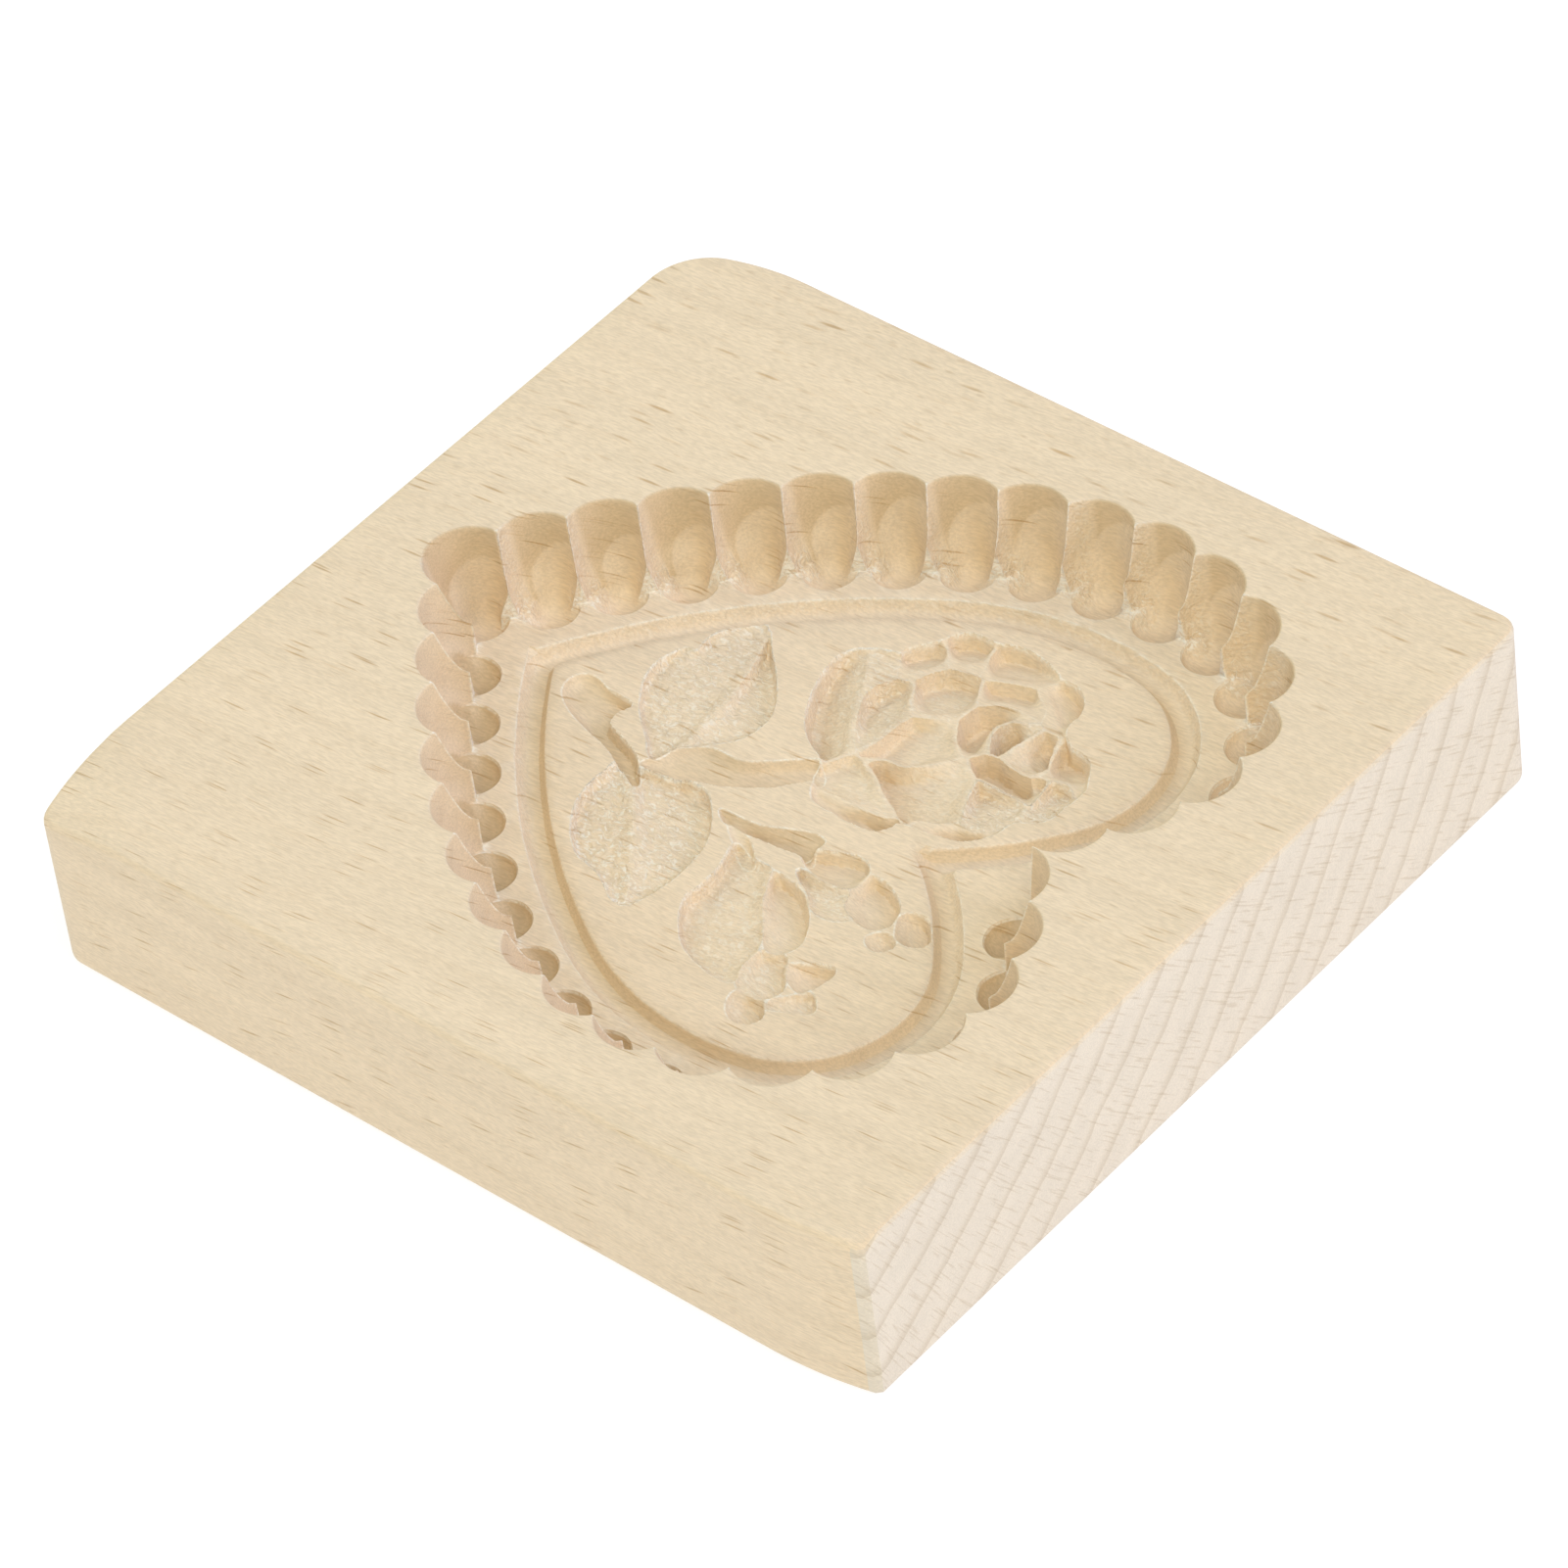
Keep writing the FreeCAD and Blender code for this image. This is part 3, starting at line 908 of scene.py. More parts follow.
@dataclass(frozen=True)
class Cluster:
    """Cuts that lie side by side with sharp ridges between them."""

    cuts: tuple[Cut, ...]
    spread: float
    ridge: float
    gain: float
    # The tone is a painted shade shift added to every cut's tearing: below zero it browns the cluster's
    # hollows as if shaded.
    tone: float = 0.0
    grounds: tuple[tuple[Spot, ...], ...] = ()

    def carve(self, x: np.ndarray, y: np.ndarray, depth: np.ndarray, tear_and_painted_light: np.ndarray,
              edge: np.ndarray) -> None:
        """Deepen the points in the cluster.

        Args:
            x: the points' x.
            y: the points' y.
            depth: the depths so far, changed in place.
            tear_and_painted_light: the tearing with the cluster's painted shade so far, changed in
                place.
            edge: the distance to the nearest ridge or outline so far, changed in place.
        """
        inward = np.stack([inward_of(cut.outline, x, y, 4.0) for cut in self.cuts])
        order = np.argsort(inward, axis=0)
        best = np.take_along_axis(inward, order[-1:], axis=0)[0]
        second = np.take_along_axis(inward, order[-2:-1], axis=0)[0]
        outer = best + self.spread
        for ground in self.grounds:
            outer = np.maximum(outer, inward_of(ground, x, y, 0.5))
        between = np.minimum((best - second) / 2, 50.0)
        ridges = between * 0.7 + 0.07
        edge[:] = np.minimum(edge, np.where(outer > 0.0, np.minimum(outer, ridges), -outer))
        between = np.maximum(between - 0.2, 0.0)
        for number, cut in enumerate(self.cuts):
            found = np.flatnonzero((order[-1] == number) & (outer > 0.0))
            level, wall = cut.level(x[found], y[found])
            rim = self.ridge * np.clip(outer[found] / 0.5, 0.0, 1.0)
            away = np.minimum(np.minimum(between[found], outer[found]) / wall, 1.0)
            cutting = rim + np.maximum(level * self.gain - rim, 0.0) * np.sin(away * math.pi / 2)
            deeper = cutting > depth[found]
            depth[found[deeper]] = cutting[deeper]
            # Each cut's tearing plus the cluster's painted shade.
            tear_and_painted_light[found[deeper]] = cut.tear_and_painted_light + self.tone


class Spray:
    """The carved rose with its buds, leaves and stems."""

    rose_ground: tuple[Spot, ...] = (
        (1.2, 4.4), (-1.6, 6.2), (-3.6, 8.1), (-5.7, 12.2), (-6.5, 16.2), (-5.6, 18.2), (-3.1, 19.9),
        (-1.6, 20.6), (-0.3, 22.9), (1.4, 25.4), (4.0, 26.5), (6.1, 26.9), (8.1, 27.5), (10.6, 27.2),
        (12.9, 26.3), (14.9, 26.2), (16.9, 25.3), (18.0, 23.3), (18.3, 21.0), (20.4, 19.2), (22.8, 18.7),
        (25.0, 15.2), (24.8, 12.2), (24.3, 9.8), (22.2, 8.2), (21.6, 5.8), (19.6, 3.4), (16.4, 2.6),
        (12.9, 1.8), (10.1, -0.4), (6.8, -0.5), (3.2, 0.8),
    )
    leaf_grounds: tuple[tuple[Spot, ...], ...] = (
        ((-12.3, -3.6), (-14.7, -2.6), (-17.3, -0.5), (-19.1, 1.6), (-20.4, 3.8), (-20.8, 6.0),
         (-20.2, 8.2), (-18.8, 9.4), (-18.8, 11.6), (-17.4, 14.2), (-14.9, 15.7), (-12.7, 13.4),
         (-9.8, 10.7), (-7.5, 7.8), (-6.6, 5.4), (-7.1, 2.4), (-9.2, -0.1), (-11.0, -1.9)),
        ((-14.6, -6.9), (-15.0, -10.7), (-14.3, -13.5), (-12.5, -16.3), (-9.6, -18.6), (-5.2, -19.9),
         (-2.6, -21.4), (-1.2, -21.0), (-0.4, -18.8), (0.1, -16.1), (-0.2, -12.7), (-0.7, -10.4),
         (-2.9, -7.1), (-5.5, -5.1), (-9.0, -5.4), (-12.5, -6.4)),
    )
    petal_cuts: tuple[Cut, ...] = (
        Cut(((0.9, 5.1), (-1.5, 6.3), (-3.4, 8.1), (-4.7, 10.2), (-5.6, 12.2), (-6.2, 14.3),
             (-6.4, 16.5), (-5.7, 18.0), (-4.5, 18.9), (-3.1, 19.6), (-1.8, 19.6), (-1.1, 19.1),
             (-1.2, 17.4), (-1.6, 15.4), (-1.5, 13.7), (-0.9, 11.8), (0.2, 9.5), (1.0, 7.2), (1.2, 5.6)),
            (-5.0, 12.6), (-1.9, 14.6), 1.5, 0.3, 0.6),
        Cut(((-1.5, 20.1), (-1.3, 21.2), (-0.1, 22.8), (1.1, 23.9), (2.4, 22.4), (1.8, 20.5),
             (1.0, 18.9), (-0.5, 18.7)),
            (-0.4, 22.6), (1.8, 20.5), 1.2, 0.3, 0.4),
        Cut(((0.9, 24.0), (1.5, 25.4), (2.4, 26.2), (4.0, 26.3), (5.2, 25.6), (5.9, 23.5), (4.2, 22.9),
             (2.5, 22.4)),
            (2.5, 25.8), (4.2, 22.9), 1.3, 0.3, 0.3),
        Cut(((5.3, 25.4), (6.1, 26.7), (8.1, 27.3), (10.6, 27.0), (13.0, 26.1), (11.7, 24.7),
             (9.9, 23.7), (7.7, 23.4), (6.1, 23.7)),
            (8.2, 27.1), (9.9, 23.7), 1.3, 0.4, 0.2),
        Cut(((13.6, 25.6), (14.9, 26.0), (16.7, 25.2), (17.8, 23.4), (17.5, 22.2), (15.2, 22.7),
             (13.4, 23.5), (12.9, 24.7)),
            (16.2, 25.4), (14.4, 23.2), 1.3, 0.5, 0.2),
        Cut(((-0.6, 13.0), (-1.3, 14.6), (-0.8, 16.0), (0.6, 17.1), (2.2, 17.4), (3.3, 15.1),
             (3.5, 12.7), (3.8, 10.9), (3.6, 9.8), (2.3, 9.9), (0.6, 11.3)),
            (-1.3, 14.6), (3.6, 13.8), 1.5, 0.5, 0.7),
        Cut(((2.2, 17.4), (2.0, 19.1), (2.8, 20.4), (4.3, 21.1), (6.7, 21.0), (7.6, 19.6), (7.2, 17.3),
             (6.5, 15.8), (4.9, 15.5), (3.1, 16.0)),
            (3.3, 20.5), (6.4, 16.0), 1.6, 0.5, 0.5),
        Cut(((8.1, 21.5), (9.0, 22.7), (10.4, 23.5), (12.2, 23.4), (14.1, 22.4), (13.3, 21.4),
             (11.7, 21.1), (10.1, 20.7), (8.7, 20.3)),
            (10.4, 23.5), (11.3, 21.1), 1.4, 0.5, 0.1),
        Cut(((10.5, 14.9), (9.9, 16.6), (9.8, 18.3), (10.5, 19.7), (12.0, 20.4), (13.5, 20.0),
             (12.9, 19.1), (11.8, 18.1), (11.5, 16.6), (11.5, 15.1)),
            (9.8, 18.3), (12.8, 18.0), 2.0, 1.0, 0.3),
        Cut(((12.8, 18.0), (13.1, 19.3), (14.4, 18.9), (15.2, 17.6), (14.6, 16.7), (13.5, 17.0)),
            (13.2, 17.8), (14.9, 18.0), 2.3, 1.6, 0.6),
        Cut(((16.0, 17.1), (17.0, 18.1), (18.9, 17.6), (20.0, 15.9), (18.4, 15.8), (17.0, 16.1)),
            (18.4, 17.8), (17.0, 16.3), 1.7, 1.0, 0.4),
        Cut(((19.7, 16.7), (19.6, 18.1), (20.6, 18.9), (22.6, 18.6), (23.9, 17.0), (24.8, 15.2),
             (23.4, 15.2), (22.0, 15.2), (20.7, 15.4)),
            (21.0, 18.8), (22.6, 15.4), 1.5, 0.6, 0.3),
        Cut(((14.8, 12.4), (16.4, 12.5), (18.6, 12.5), (20.5, 13.0), (20.8, 14.4), (21.7, 13.0),
             (21.5, 11.2), (19.7, 11.2), (17.7, 11.3), (16.1, 11.5)),
            (17.8, 12.4), (18.6, 10.9), 1.9, 1.0, 0.1),
        Cut(((15.7, 9.5), (16.1, 11.0), (18.5, 11.1), (21.4, 10.9), (21.8, 8.6), (20.9, 6.3),
             (19.6, 5.7), (17.3, 7.1)),
            (17.0, 10.8), (20.4, 6.7), 1.2, 0.3, 0.8),
        Cut(((21.7, 11.0), (21.3, 12.8), (21.7, 15.1), (23.2, 15.6), (24.4, 13.1), (24.5, 10.7),
             (23.4, 9.3), (22.2, 9.0)),
            (21.5, 13.9), (24.1, 10.7), 1.1, 0.3, 0.8),
        Cut(((6.4, 6.6), (6.2, 8.0), (8.1, 8.0), (9.5, 9.0), (11.3, 10.0), (13.7, 10.6), (15.4, 9.8),
             (16.3, 7.4), (16.4, 5.2), (15.1, 3.6), (12.8, 3.3), (10.4, 3.9), (8.0, 5.2)),
            (9.4, 4.7), (13.9, 9.2), 1.8, 0.7, 0.4),
        Cut(((4.1, 9.6), (4.3, 11.7), (5.5, 13.9), (7.1, 15.2), (9.1, 14.0), (10.0, 11.6), (9.1, 9.5),
             (7.2, 8.7), (5.4, 8.5)),
            (4.6, 10.4), (9.7, 11.9), 1.4, 0.8, 0.3),
        Cut(((3.1, 1.4), (4.4, 1.6), (7.0, 1.6), (9.3, 1.9), (11.5, 2.1), (12.6, 1.7), (11.9, 0.2),
             (10.1, -0.3), (7.8, -0.2), (5.8, -0.3), (4.1, 0.1)),
            (9.0, -0.1), (7.4, 1.8), 1.3, 0.7, 0.1),
        Cut(((1.6, 3.4), (2.5, 4.8), (4.6, 5.4), (6.8, 5.7), (8.9, 4.3), (10.9, 3.2), (11.1, 2.1),
             (8.6, 1.9), (5.9, 1.8), (3.4, 1.6)),
            (2.6, 3.5), (9.1, 2.5), 0.9, 0.5, 0.4),
        Cut(((14.1, 3.4), (15.3, 4.0), (17.2, 4.3), (19.3, 4.8), (20.5, 6.5), (21.5, 6.6), (20.3, 4.7),
             (19.2, 3.7), (17.1, 3.0), (15.3, 2.7)),
            (18.7, 3.3), (17.5, 4.8), 1.4, 0.6, 0.1),
    )
    leaf_cuts: tuple[Cut, ...] = (
        Cut(((-12.5, -4.4), (-14.7, -2.6), (-17.3, -0.5), (-19.1, 1.6), (-20.3, 3.8), (-20.7, 6.0),
             (-20.3, 7.7), (-19.8, 8.9), (-18.6, 9.2), (-18.7, 11.6), (-17.4, 14.2), (-15.1, 15.7),
             (-13.8, 12.7), (-12.7, 9.0), (-12.2, 5.9), (-11.9, 2.6), (-11.5, -1.0)),
            (-18.7, 2.4), (-12.8, 5.6), 0.8, 0.5, 0.7),
        Cut(((-14.5, 15.3), (-12.7, 13.4), (-9.8, 10.7), (-7.5, 7.8), (-6.6, 5.4), (-7.1, 2.4),
             (-9.2, -0.1), (-11.1, -1.6), (-11.0, -1.1), (-11.2, 2.3), (-11.5, 5.6), (-12.2, 8.8),
             (-13.2, 12.2)),
            (-8.9, 9.1), (-11.1, 3.7), 1.2, 0.6, 0.6),
        Cut(((-19.5, 8.3), (-18.9, 8.1), (-17.8, 5.5), (-17.9, 4.9), (-18.9, 6.4)),
            (-19.2, 8.2), (-18.0, 5.4), 1.3, 1.1, 0.2),
        Cut(((-14.7, -6.7), (-14.9, -8.5), (-15.0, -10.7), (-14.3, -13.5), (-12.5, -16.3),
             (-9.6, -18.6), (-7.7, -18.9), (-5.2, -19.9), (-3.2, -21.2), (-1.7, -21.2), (-3.5, -18.7),
             (-6.6, -15.5), (-9.7, -12.3), (-11.7, -9.0)),
            (-12.8, -15.4), (-9.0, -12.8), 1.1, 0.6, 1.0),
        Cut(((-12.7, -6.7), (-9.0, -5.6), (-5.5, -5.1), (-2.9, -7.1), (-0.7, -10.4), (-0.2, -12.7),
             (-0.0, -16.1), (-0.5, -18.8), (-1.5, -21.2), (-3.1, -18.5), (-5.3, -14.7), (-7.5, -11.3),
             (-10.3, -8.9)),
            (-2.8, -8.1), (-5.7, -13.8), 1.3, 0.6, 0.8),
    )
    bud_cuts: tuple[Cut, ...] = (
        Cut(((8.5, -6.6), (9.0, -5.5), (11.0, -4.6), (13.5, -3.9), (15.1, -5.3), (15.0, -7.1),
             (13.3, -7.8), (10.9, -7.8)),
            (11.2, -4.7), (12.8, -7.6), 1.2, 0.7, 0.1),
        Cut(((15.3, -5.3), (17.0, -5.2), (19.3, -6.1), (20.6, -7.3), (21.0, -9.1), (19.9, -10.4),
             (17.7, -10.3), (15.8, -9.3), (15.1, -7.3)),
            (19.6, -6.6), (17.0, -9.5), 1.4, 0.6, 0.2),
        Cut(((9.3, -8.4), (11.2, -8.2), (13.6, -8.1), (15.2, -7.8), (15.9, -9.7), (17.4, -10.5),
             (16.1, -11.6), (13.9, -11.6), (12.1, -10.2)),
            (11.3, -8.3), (15.9, -11.3), 0.8, 0.2, 0.8),
        Cut(((20.5, -11.6), (21.2, -10.5), (22.6, -10.4), (23.1, -11.3), (22.3, -12.3), (21.3, -12.3)),
            (22.8, -11.0), (20.9, -11.5), 1.0, 0.5, 0.5),
        Cut(((21.4, -7.8), (21.9, -6.9), (23.3, -6.7), (24.8, -7.8), (25.5, -9.2), (24.6, -10.0),
             (23.0, -10.1), (22.1, -9.1)),
            (24.5, -8.0), (22.5, -9.1), 1.3, 0.8, 0.1),
        Cut(((2.0, -8.8), (4.6, -9.7), (7.0, -9.9), (8.1, -11.6), (9.2, -13.7), (11.0, -15.7),
             (12.8, -18.7), (12.9, -21.2), (13.7, -23.0), (12.2, -23.5), (9.4, -23.0), (6.6, -21.9),
             (4.2, -19.6), (2.9, -17.2), (3.0, -14.8), (2.9, -12.3)),
            (4.0, -18.4), (10.8, -15.8), 1.2, 0.5, 0.7),
        Cut(((7.3, -10.0), (9.6, -10.1), (11.9, -10.8), (13.9, -12.7), (15.6, -15.7), (15.0, -17.7),
             (13.6, -18.1), (11.5, -15.9), (9.4, -13.6), (8.2, -11.8)),
            (13.0, -12.2), (11.3, -15.5), 1.3, 0.5, 0.4),
        Cut(((14.1, -23.0), (13.2, -21.0), (13.3, -18.8), (15.0, -17.9), (16.5, -18.7), (17.7, -20.5),
             (18.2, -22.2), (17.0, -23.6), (15.5, -23.8)),
            (16.8, -19.6), (14.3, -22.3), 1.0, 0.4, 0.7),
        Cut(((16.7, -18.6), (19.0, -17.2), (20.6, -16.8), (20.7, -18.5), (20.1, -20.2), (19.7, -20.7),
             (17.9, -20.1), (16.9, -19.2)),
            (19.8, -17.5), (17.6, -19.6), 1.2, 0.7, 0.3),
        Cut(((20.2, -20.8), (20.9, -20.4), (22.1, -21.4), (22.3, -22.3), (20.5, -23.1), (18.6, -24.0),
             (18.4, -22.9), (19.5, -21.8)),
            (21.7, -21.4), (19.0, -23.2), 0.8, 0.4, 0.6),
        Cut(((15.3, -23.5), (16.7, -23.3), (18.1, -24.1), (18.8, -25.5), (18.2, -26.6), (16.7, -26.9),
             (15.4, -26.0), (14.8, -24.6)),
            (17.9, -24.5), (15.6, -25.8), 1.2, 0.7, 0.5),
    )
    stem_cuts: tuple[Cut, ...] = (
        Cut(((-26.1, -2.0), (-26.1, 0.1), (-24.5, 0.9), (-22.0, 0.2), (-19.1, 0.0), (-19.5, -1.7),
             (-19.0, -3.4), (-16.6, -4.2), (-14.1, -5.2), (-12.2, -6.8), (-11.6, -8.2), (-13.6, -7.4),
             (-17.2, -5.8), (-20.7, -4.9), (-23.7, -3.9)),
            (-18.8, -2.4), (-22.9, -3.4), 1.5, 0.9, 0.2),
        Cut(((-12.8, -5.8), (-12.1, -4.0), (-11.0, -2.1), (-8.5, -0.4), (-5.0, -0.1), (-2.4, 1.6),
             (0.2, 3.7), (1.4, 4.2), (2.7, 2.9), (2.0, 1.5), (0.7, -0.0), (-0.5, -1.3), (-3.9, -3.4),
             (-6.5, -4.4), (-8.9, -5.3), (-11.0, -5.7)),
            (-2.8, -2.7), (-5.7, 0.7), 1.4, 0.8, 0.1),
        Cut(((-2.3, -6.2), (0.1, -6.1), (2.6, -5.7), (5.6, -4.4), (7.3, -3.8), (8.8, -4.0), (8.7, -5.5),
             (8.9, -6.4), (7.5, -6.6), (5.7, -6.9), (3.4, -7.1), (1.3, -7.5), (-0.9, -7.3)),
            (5.3, -6.9), (4.9, -5.0), 1.5, 0.9, 0.0),
        Cut(((-0.2, -7.4), (0.7, -7.3), (2.4, -7.8), (3.6, -8.6), (4.9, -9.8), (4.1, -10.3),
             (2.4, -9.3), (1.0, -8.5)),
            (3.5, -8.6), (1.3, -8.5), 0.9, 0.5, 0.6),
    )

    def __init__(self) -> None:
        """Collect the clusters of cuts."""
        # The last number of each cluster is its painted shade shift, browning the stems, buds and petals
        # as if shaded.
        self.clusters = (
            Cluster(self.stem_cuts, 0.15, 0.2, 1.1, -0.6),
            Cluster(self.leaf_cuts, 0.2, 0.3, 1.15, 0.0, self.leaf_grounds),
            Cluster(self.bud_cuts, 0.3, 0.3, 1.3, -0.2),
            Cluster(self.petal_cuts, 0.3, 0.45, 1.55, -0.12, (self.rose_ground,)),
        )

    def carved(self, x: np.ndarray, y: np.ndarray) -> tuple[np.ndarray, np.ndarray, np.ndarray]:
        """Give the depth below the pad, the tearing with its painted shade, and the distance to an edge
        at each point.

        Args:
            x: the points' x.
            y: the points' y.

        Returns:
            The depths, the tearing with its painted shade, and the distances.
        """
        depth, tear_and_painted_light, edge = np.zeros(len(x)), np.zeros(len(x)), np.full(len(x), 99.0)
        for cluster in self.clusters:
            cluster.carve(x, y, depth, tear_and_painted_light, edge)
        return depth, tear_and_painted_light, edge


@dataclass
class Floor:
    """The hollow's floor: ledge, noses of the flutes, groove, pad and spray."""

    ring: FluteRing
    groove: Groove
    spray: Spray
    level: float = 11.0
    carved_spacing: float = 0.23
    edge_spacing: float = 0.14
    plain_spacing: float = 0.9

    def height(self, x: np.ndarray, y: np.ndarray) -> np.ndarray:
        """Give the floor's height at each point."""
        cut = np.maximum(self.ring.depth(x, y), self.groove.depth(x, y))
        return self.level - np.maximum(cut, self.spray.carved(x, y)[0])

    def marks(self, x: np.ndarray, y: np.ndarray) -> np.ndarray:
        """Give the marks that the finish reads.

        Args:
            x: the points' x.
            y: the points' y.

        Returns:
            Rows of the tearing with its painted light and shade, and of the painted highlight along
            edges.
        """
        depth, tear_and_painted_light, edge = self.spray.carved(x, y)
        # Painted highlight: a whitish line along the cuts' edges and the groove's mouth.
        away = np.abs(np.abs(self.groove.offset(x, y)) - self.groove.mouth / 2)
        crest_highlight = np.clip(1.0 - np.minimum(edge / 0.17, away / 0.12), 0.0, 1.0)
        tone = self.ring.tear_and_painted_light(x, y, np.full(len(x), self.level))
        side = self.groove.offset(x, y)
        # Painted light, grey, on the groove's ledge-side wall and painted shade, brown, on its pad side.
        bank_light_and_shade = 0.3 * np.clip(side, 0.0, 1.0) - 0.5 * np.clip(0.2 - side, 0.0, 1.0)
        tone = np.where(self.groove.depth(x, y) > 0.1, bank_light_and_shade, tone)
        tone = np.where(depth > 0.0, tear_and_painted_light, tone)
        return np.stack([tone, np.maximum(crest_highlight, self.ring.crest_highlight(x, y))], axis=1)

    def add(self, stock: MeshStock, foot: np.ndarray) -> None:
        """Add the floor inside the foot of the walls.

        Args:
            stock: takes the mesh.
            foot: the walls' lowest contour, as rows of x, y.
        """
        lines = self.ring.nose_lines() + self.groove.lines(0.4)
        fixed = thinned(np.concatenate(lines), 0.07)
        fixed = fixed[inside_loop(fixed, foot)]
        fixed = clear_of(fixed, foot, 0.12)
        near = jittered(self.edge_spacing, (-28.0, -28.0), (27.0, 29.0), 14)
        near = near[self.spray.carved(*near.T)[2] < 0.2]
        near = clear_of(near, np.concatenate([fixed, foot]), self.edge_spacing * 0.6)
        fine = jittered(self.carved_spacing, (-28.0, -28.0), (27.0, 29.0), 11)
        fine = fine[self.spray.carved(*fine.T)[0] > 0.02]
        fine = clear_of(fine, np.concatenate([fixed, near, foot]), self.carved_spacing * 0.6)
        fine = np.concatenate([near, fine])
        plain = jittered(self.plain_spacing, (-44.0, -44.0), (46.0, 44.0), 12)
        plain = plain[inside_loop(plain, foot)]
        plain = clear_of(plain, np.concatenate([fixed, fine, foot]), self.plain_spacing * 0.6)
        log.info("floor: %d points on lines, %d carved, %d plain", len(fixed), len(fine), len(plain))
        inner = np.concatenate([fixed, fine, plain])
        stock.add_plan([foot], inner, self.height, Finish.CARVED, self.marks)


@dataclass
class Mould:
    """The whole board as one piece."""

    board: Board = field(default_factory=Board)
    ring: FluteRing = field(default_factory=FluteRing)
    floor: Floor = field(init=False)
    wave: float = 0.045
    wave_cell: Colour = (2.6, 1.7, 3.0)
    fibre: float = 0.012
    torn_fibre: float = 0.1
    fibre_cell: Colour = (0.8, 0.34, 0.34)
    sharp_angle: float = 40.0

    def __post_init__(self) -> None:
        """Lay the floor inside the ring of flutes."""
        self.floor = Floor(self.ring, Groove(), Spray())

    def add_face(self, stock: MeshStock, rim: np.ndarray, scallops: np.ndarray) -> None:
        """Add the carved face between the board's edge and the scalloped rim.

        Args:
            stock: takes the mesh.
            rim: the face's outer edge, as rows of x, y.
            scallops: the rim of the hollow, as rows of x, y.
        """
        near = []
        for step, spacing in ((0.3, 0.35), (0.9, 0.7)):
            near.append(thinned(self.ring.ring(self.ring.mouth_radius + 0.15 + step)[0], spacing))
        near = np.concatenate(near)
        near = near[~inside_loop(near, scallops)]
        near = clear_of(near, scallops, 0.2)
        plain = jittered(2.2, (-50.0, -48.5), (50.0, 48.5), 13)
        plain = plain[~inside_loop(plain, scallops) & inside_loop(plain, rim)]
        plain = clear_of(plain, np.concatenate([near, scallops, rim]), 0.9)
        stock.add_plan([rim, scallops], np.concatenate([near, plain]), self.board.top, Finish.PLANED)

    def hand_worked(self, points: np.ndarray, tear_and_painted_light: np.ndarray) -> np.ndarray:
        """Give the carving the slight unevenness of hand work and of fibres that tore.

        Args:
            points: rows of x, y, z.
            tear_and_painted_light: the tearing at each point, with painted light and shade.

        Returns:
            The moved points.
        """
        top = self.board.thickness
        inner = (points[:, 2] < top - 0.02) & (points[:, 2] > 5.0)
        inner &= (np.abs(points[:, 0]) < 46.0) & (np.abs(points[:, 1]) < 45.0)
        share = np.where(inner, smooth_step((top - points[:, 2]) / 0.8), 0.0)
        shift = np.zeros_like(points)
        for axis in range(3):
            wave = self.wave * value_noise(points, self.wave_cell, 21 + axis)
            height = self.fibre + self.torn_fibre * np.maximum(tear_and_painted_light, 0.0)
            fibre = value_noise(points, self.fibre_cell, 31 + axis) * height
            shift[:, axis] = (wave + fibre) * share
        return points + shift

    def build(self) -> bpy.types.Object:
        """Build the board's mesh.

        Returns:
            The object.
        """
        stock = MeshStock()
        rim = self.board.add_shell(stock)
        scallops, foot = self.ring.add_walls(stock, self.floor.height)
        self.add_face(stock, rim, scallops)
        self.floor.add(stock, foot)
        points, faces, kinds, marks = stock.welded()
        points = self.hand_worked(points, marks[:, 0])
        mesh = bpy.data.meshes.new("mould_board")
        mesh.from_pydata((points * MM).tolist(), [], faces.tolist())
        mesh.polygons.foreach_set("material_index", kinds.astype(np.int32))
        mesh.polygons.foreach_set("use_smooth", np.ones(len(faces), dtype=bool))
        # The first attribute holds the tearing with painted light and shade, the second the painted
        # highlight along edges.
        for number, name in enumerate(("tear_and_painted_light", "crest_highlight")):
            layer = mesh.attributes.new(name, "FLOAT", "POINT")
            layer.data.foreach_set("value", marks[:, number].astype(np.float32))
        mesh.set_sharp_from_angle(angle=math.radians(self.sharp_angle))
        mesh.validate()
        mesh.update()
        board = bpy.data.objects.new("mould_board", mesh)
        bpy.context.scene.collection.objects.link(board)
        log.info("board: %d points, %d triangles", len(points), len(faces))
        return board


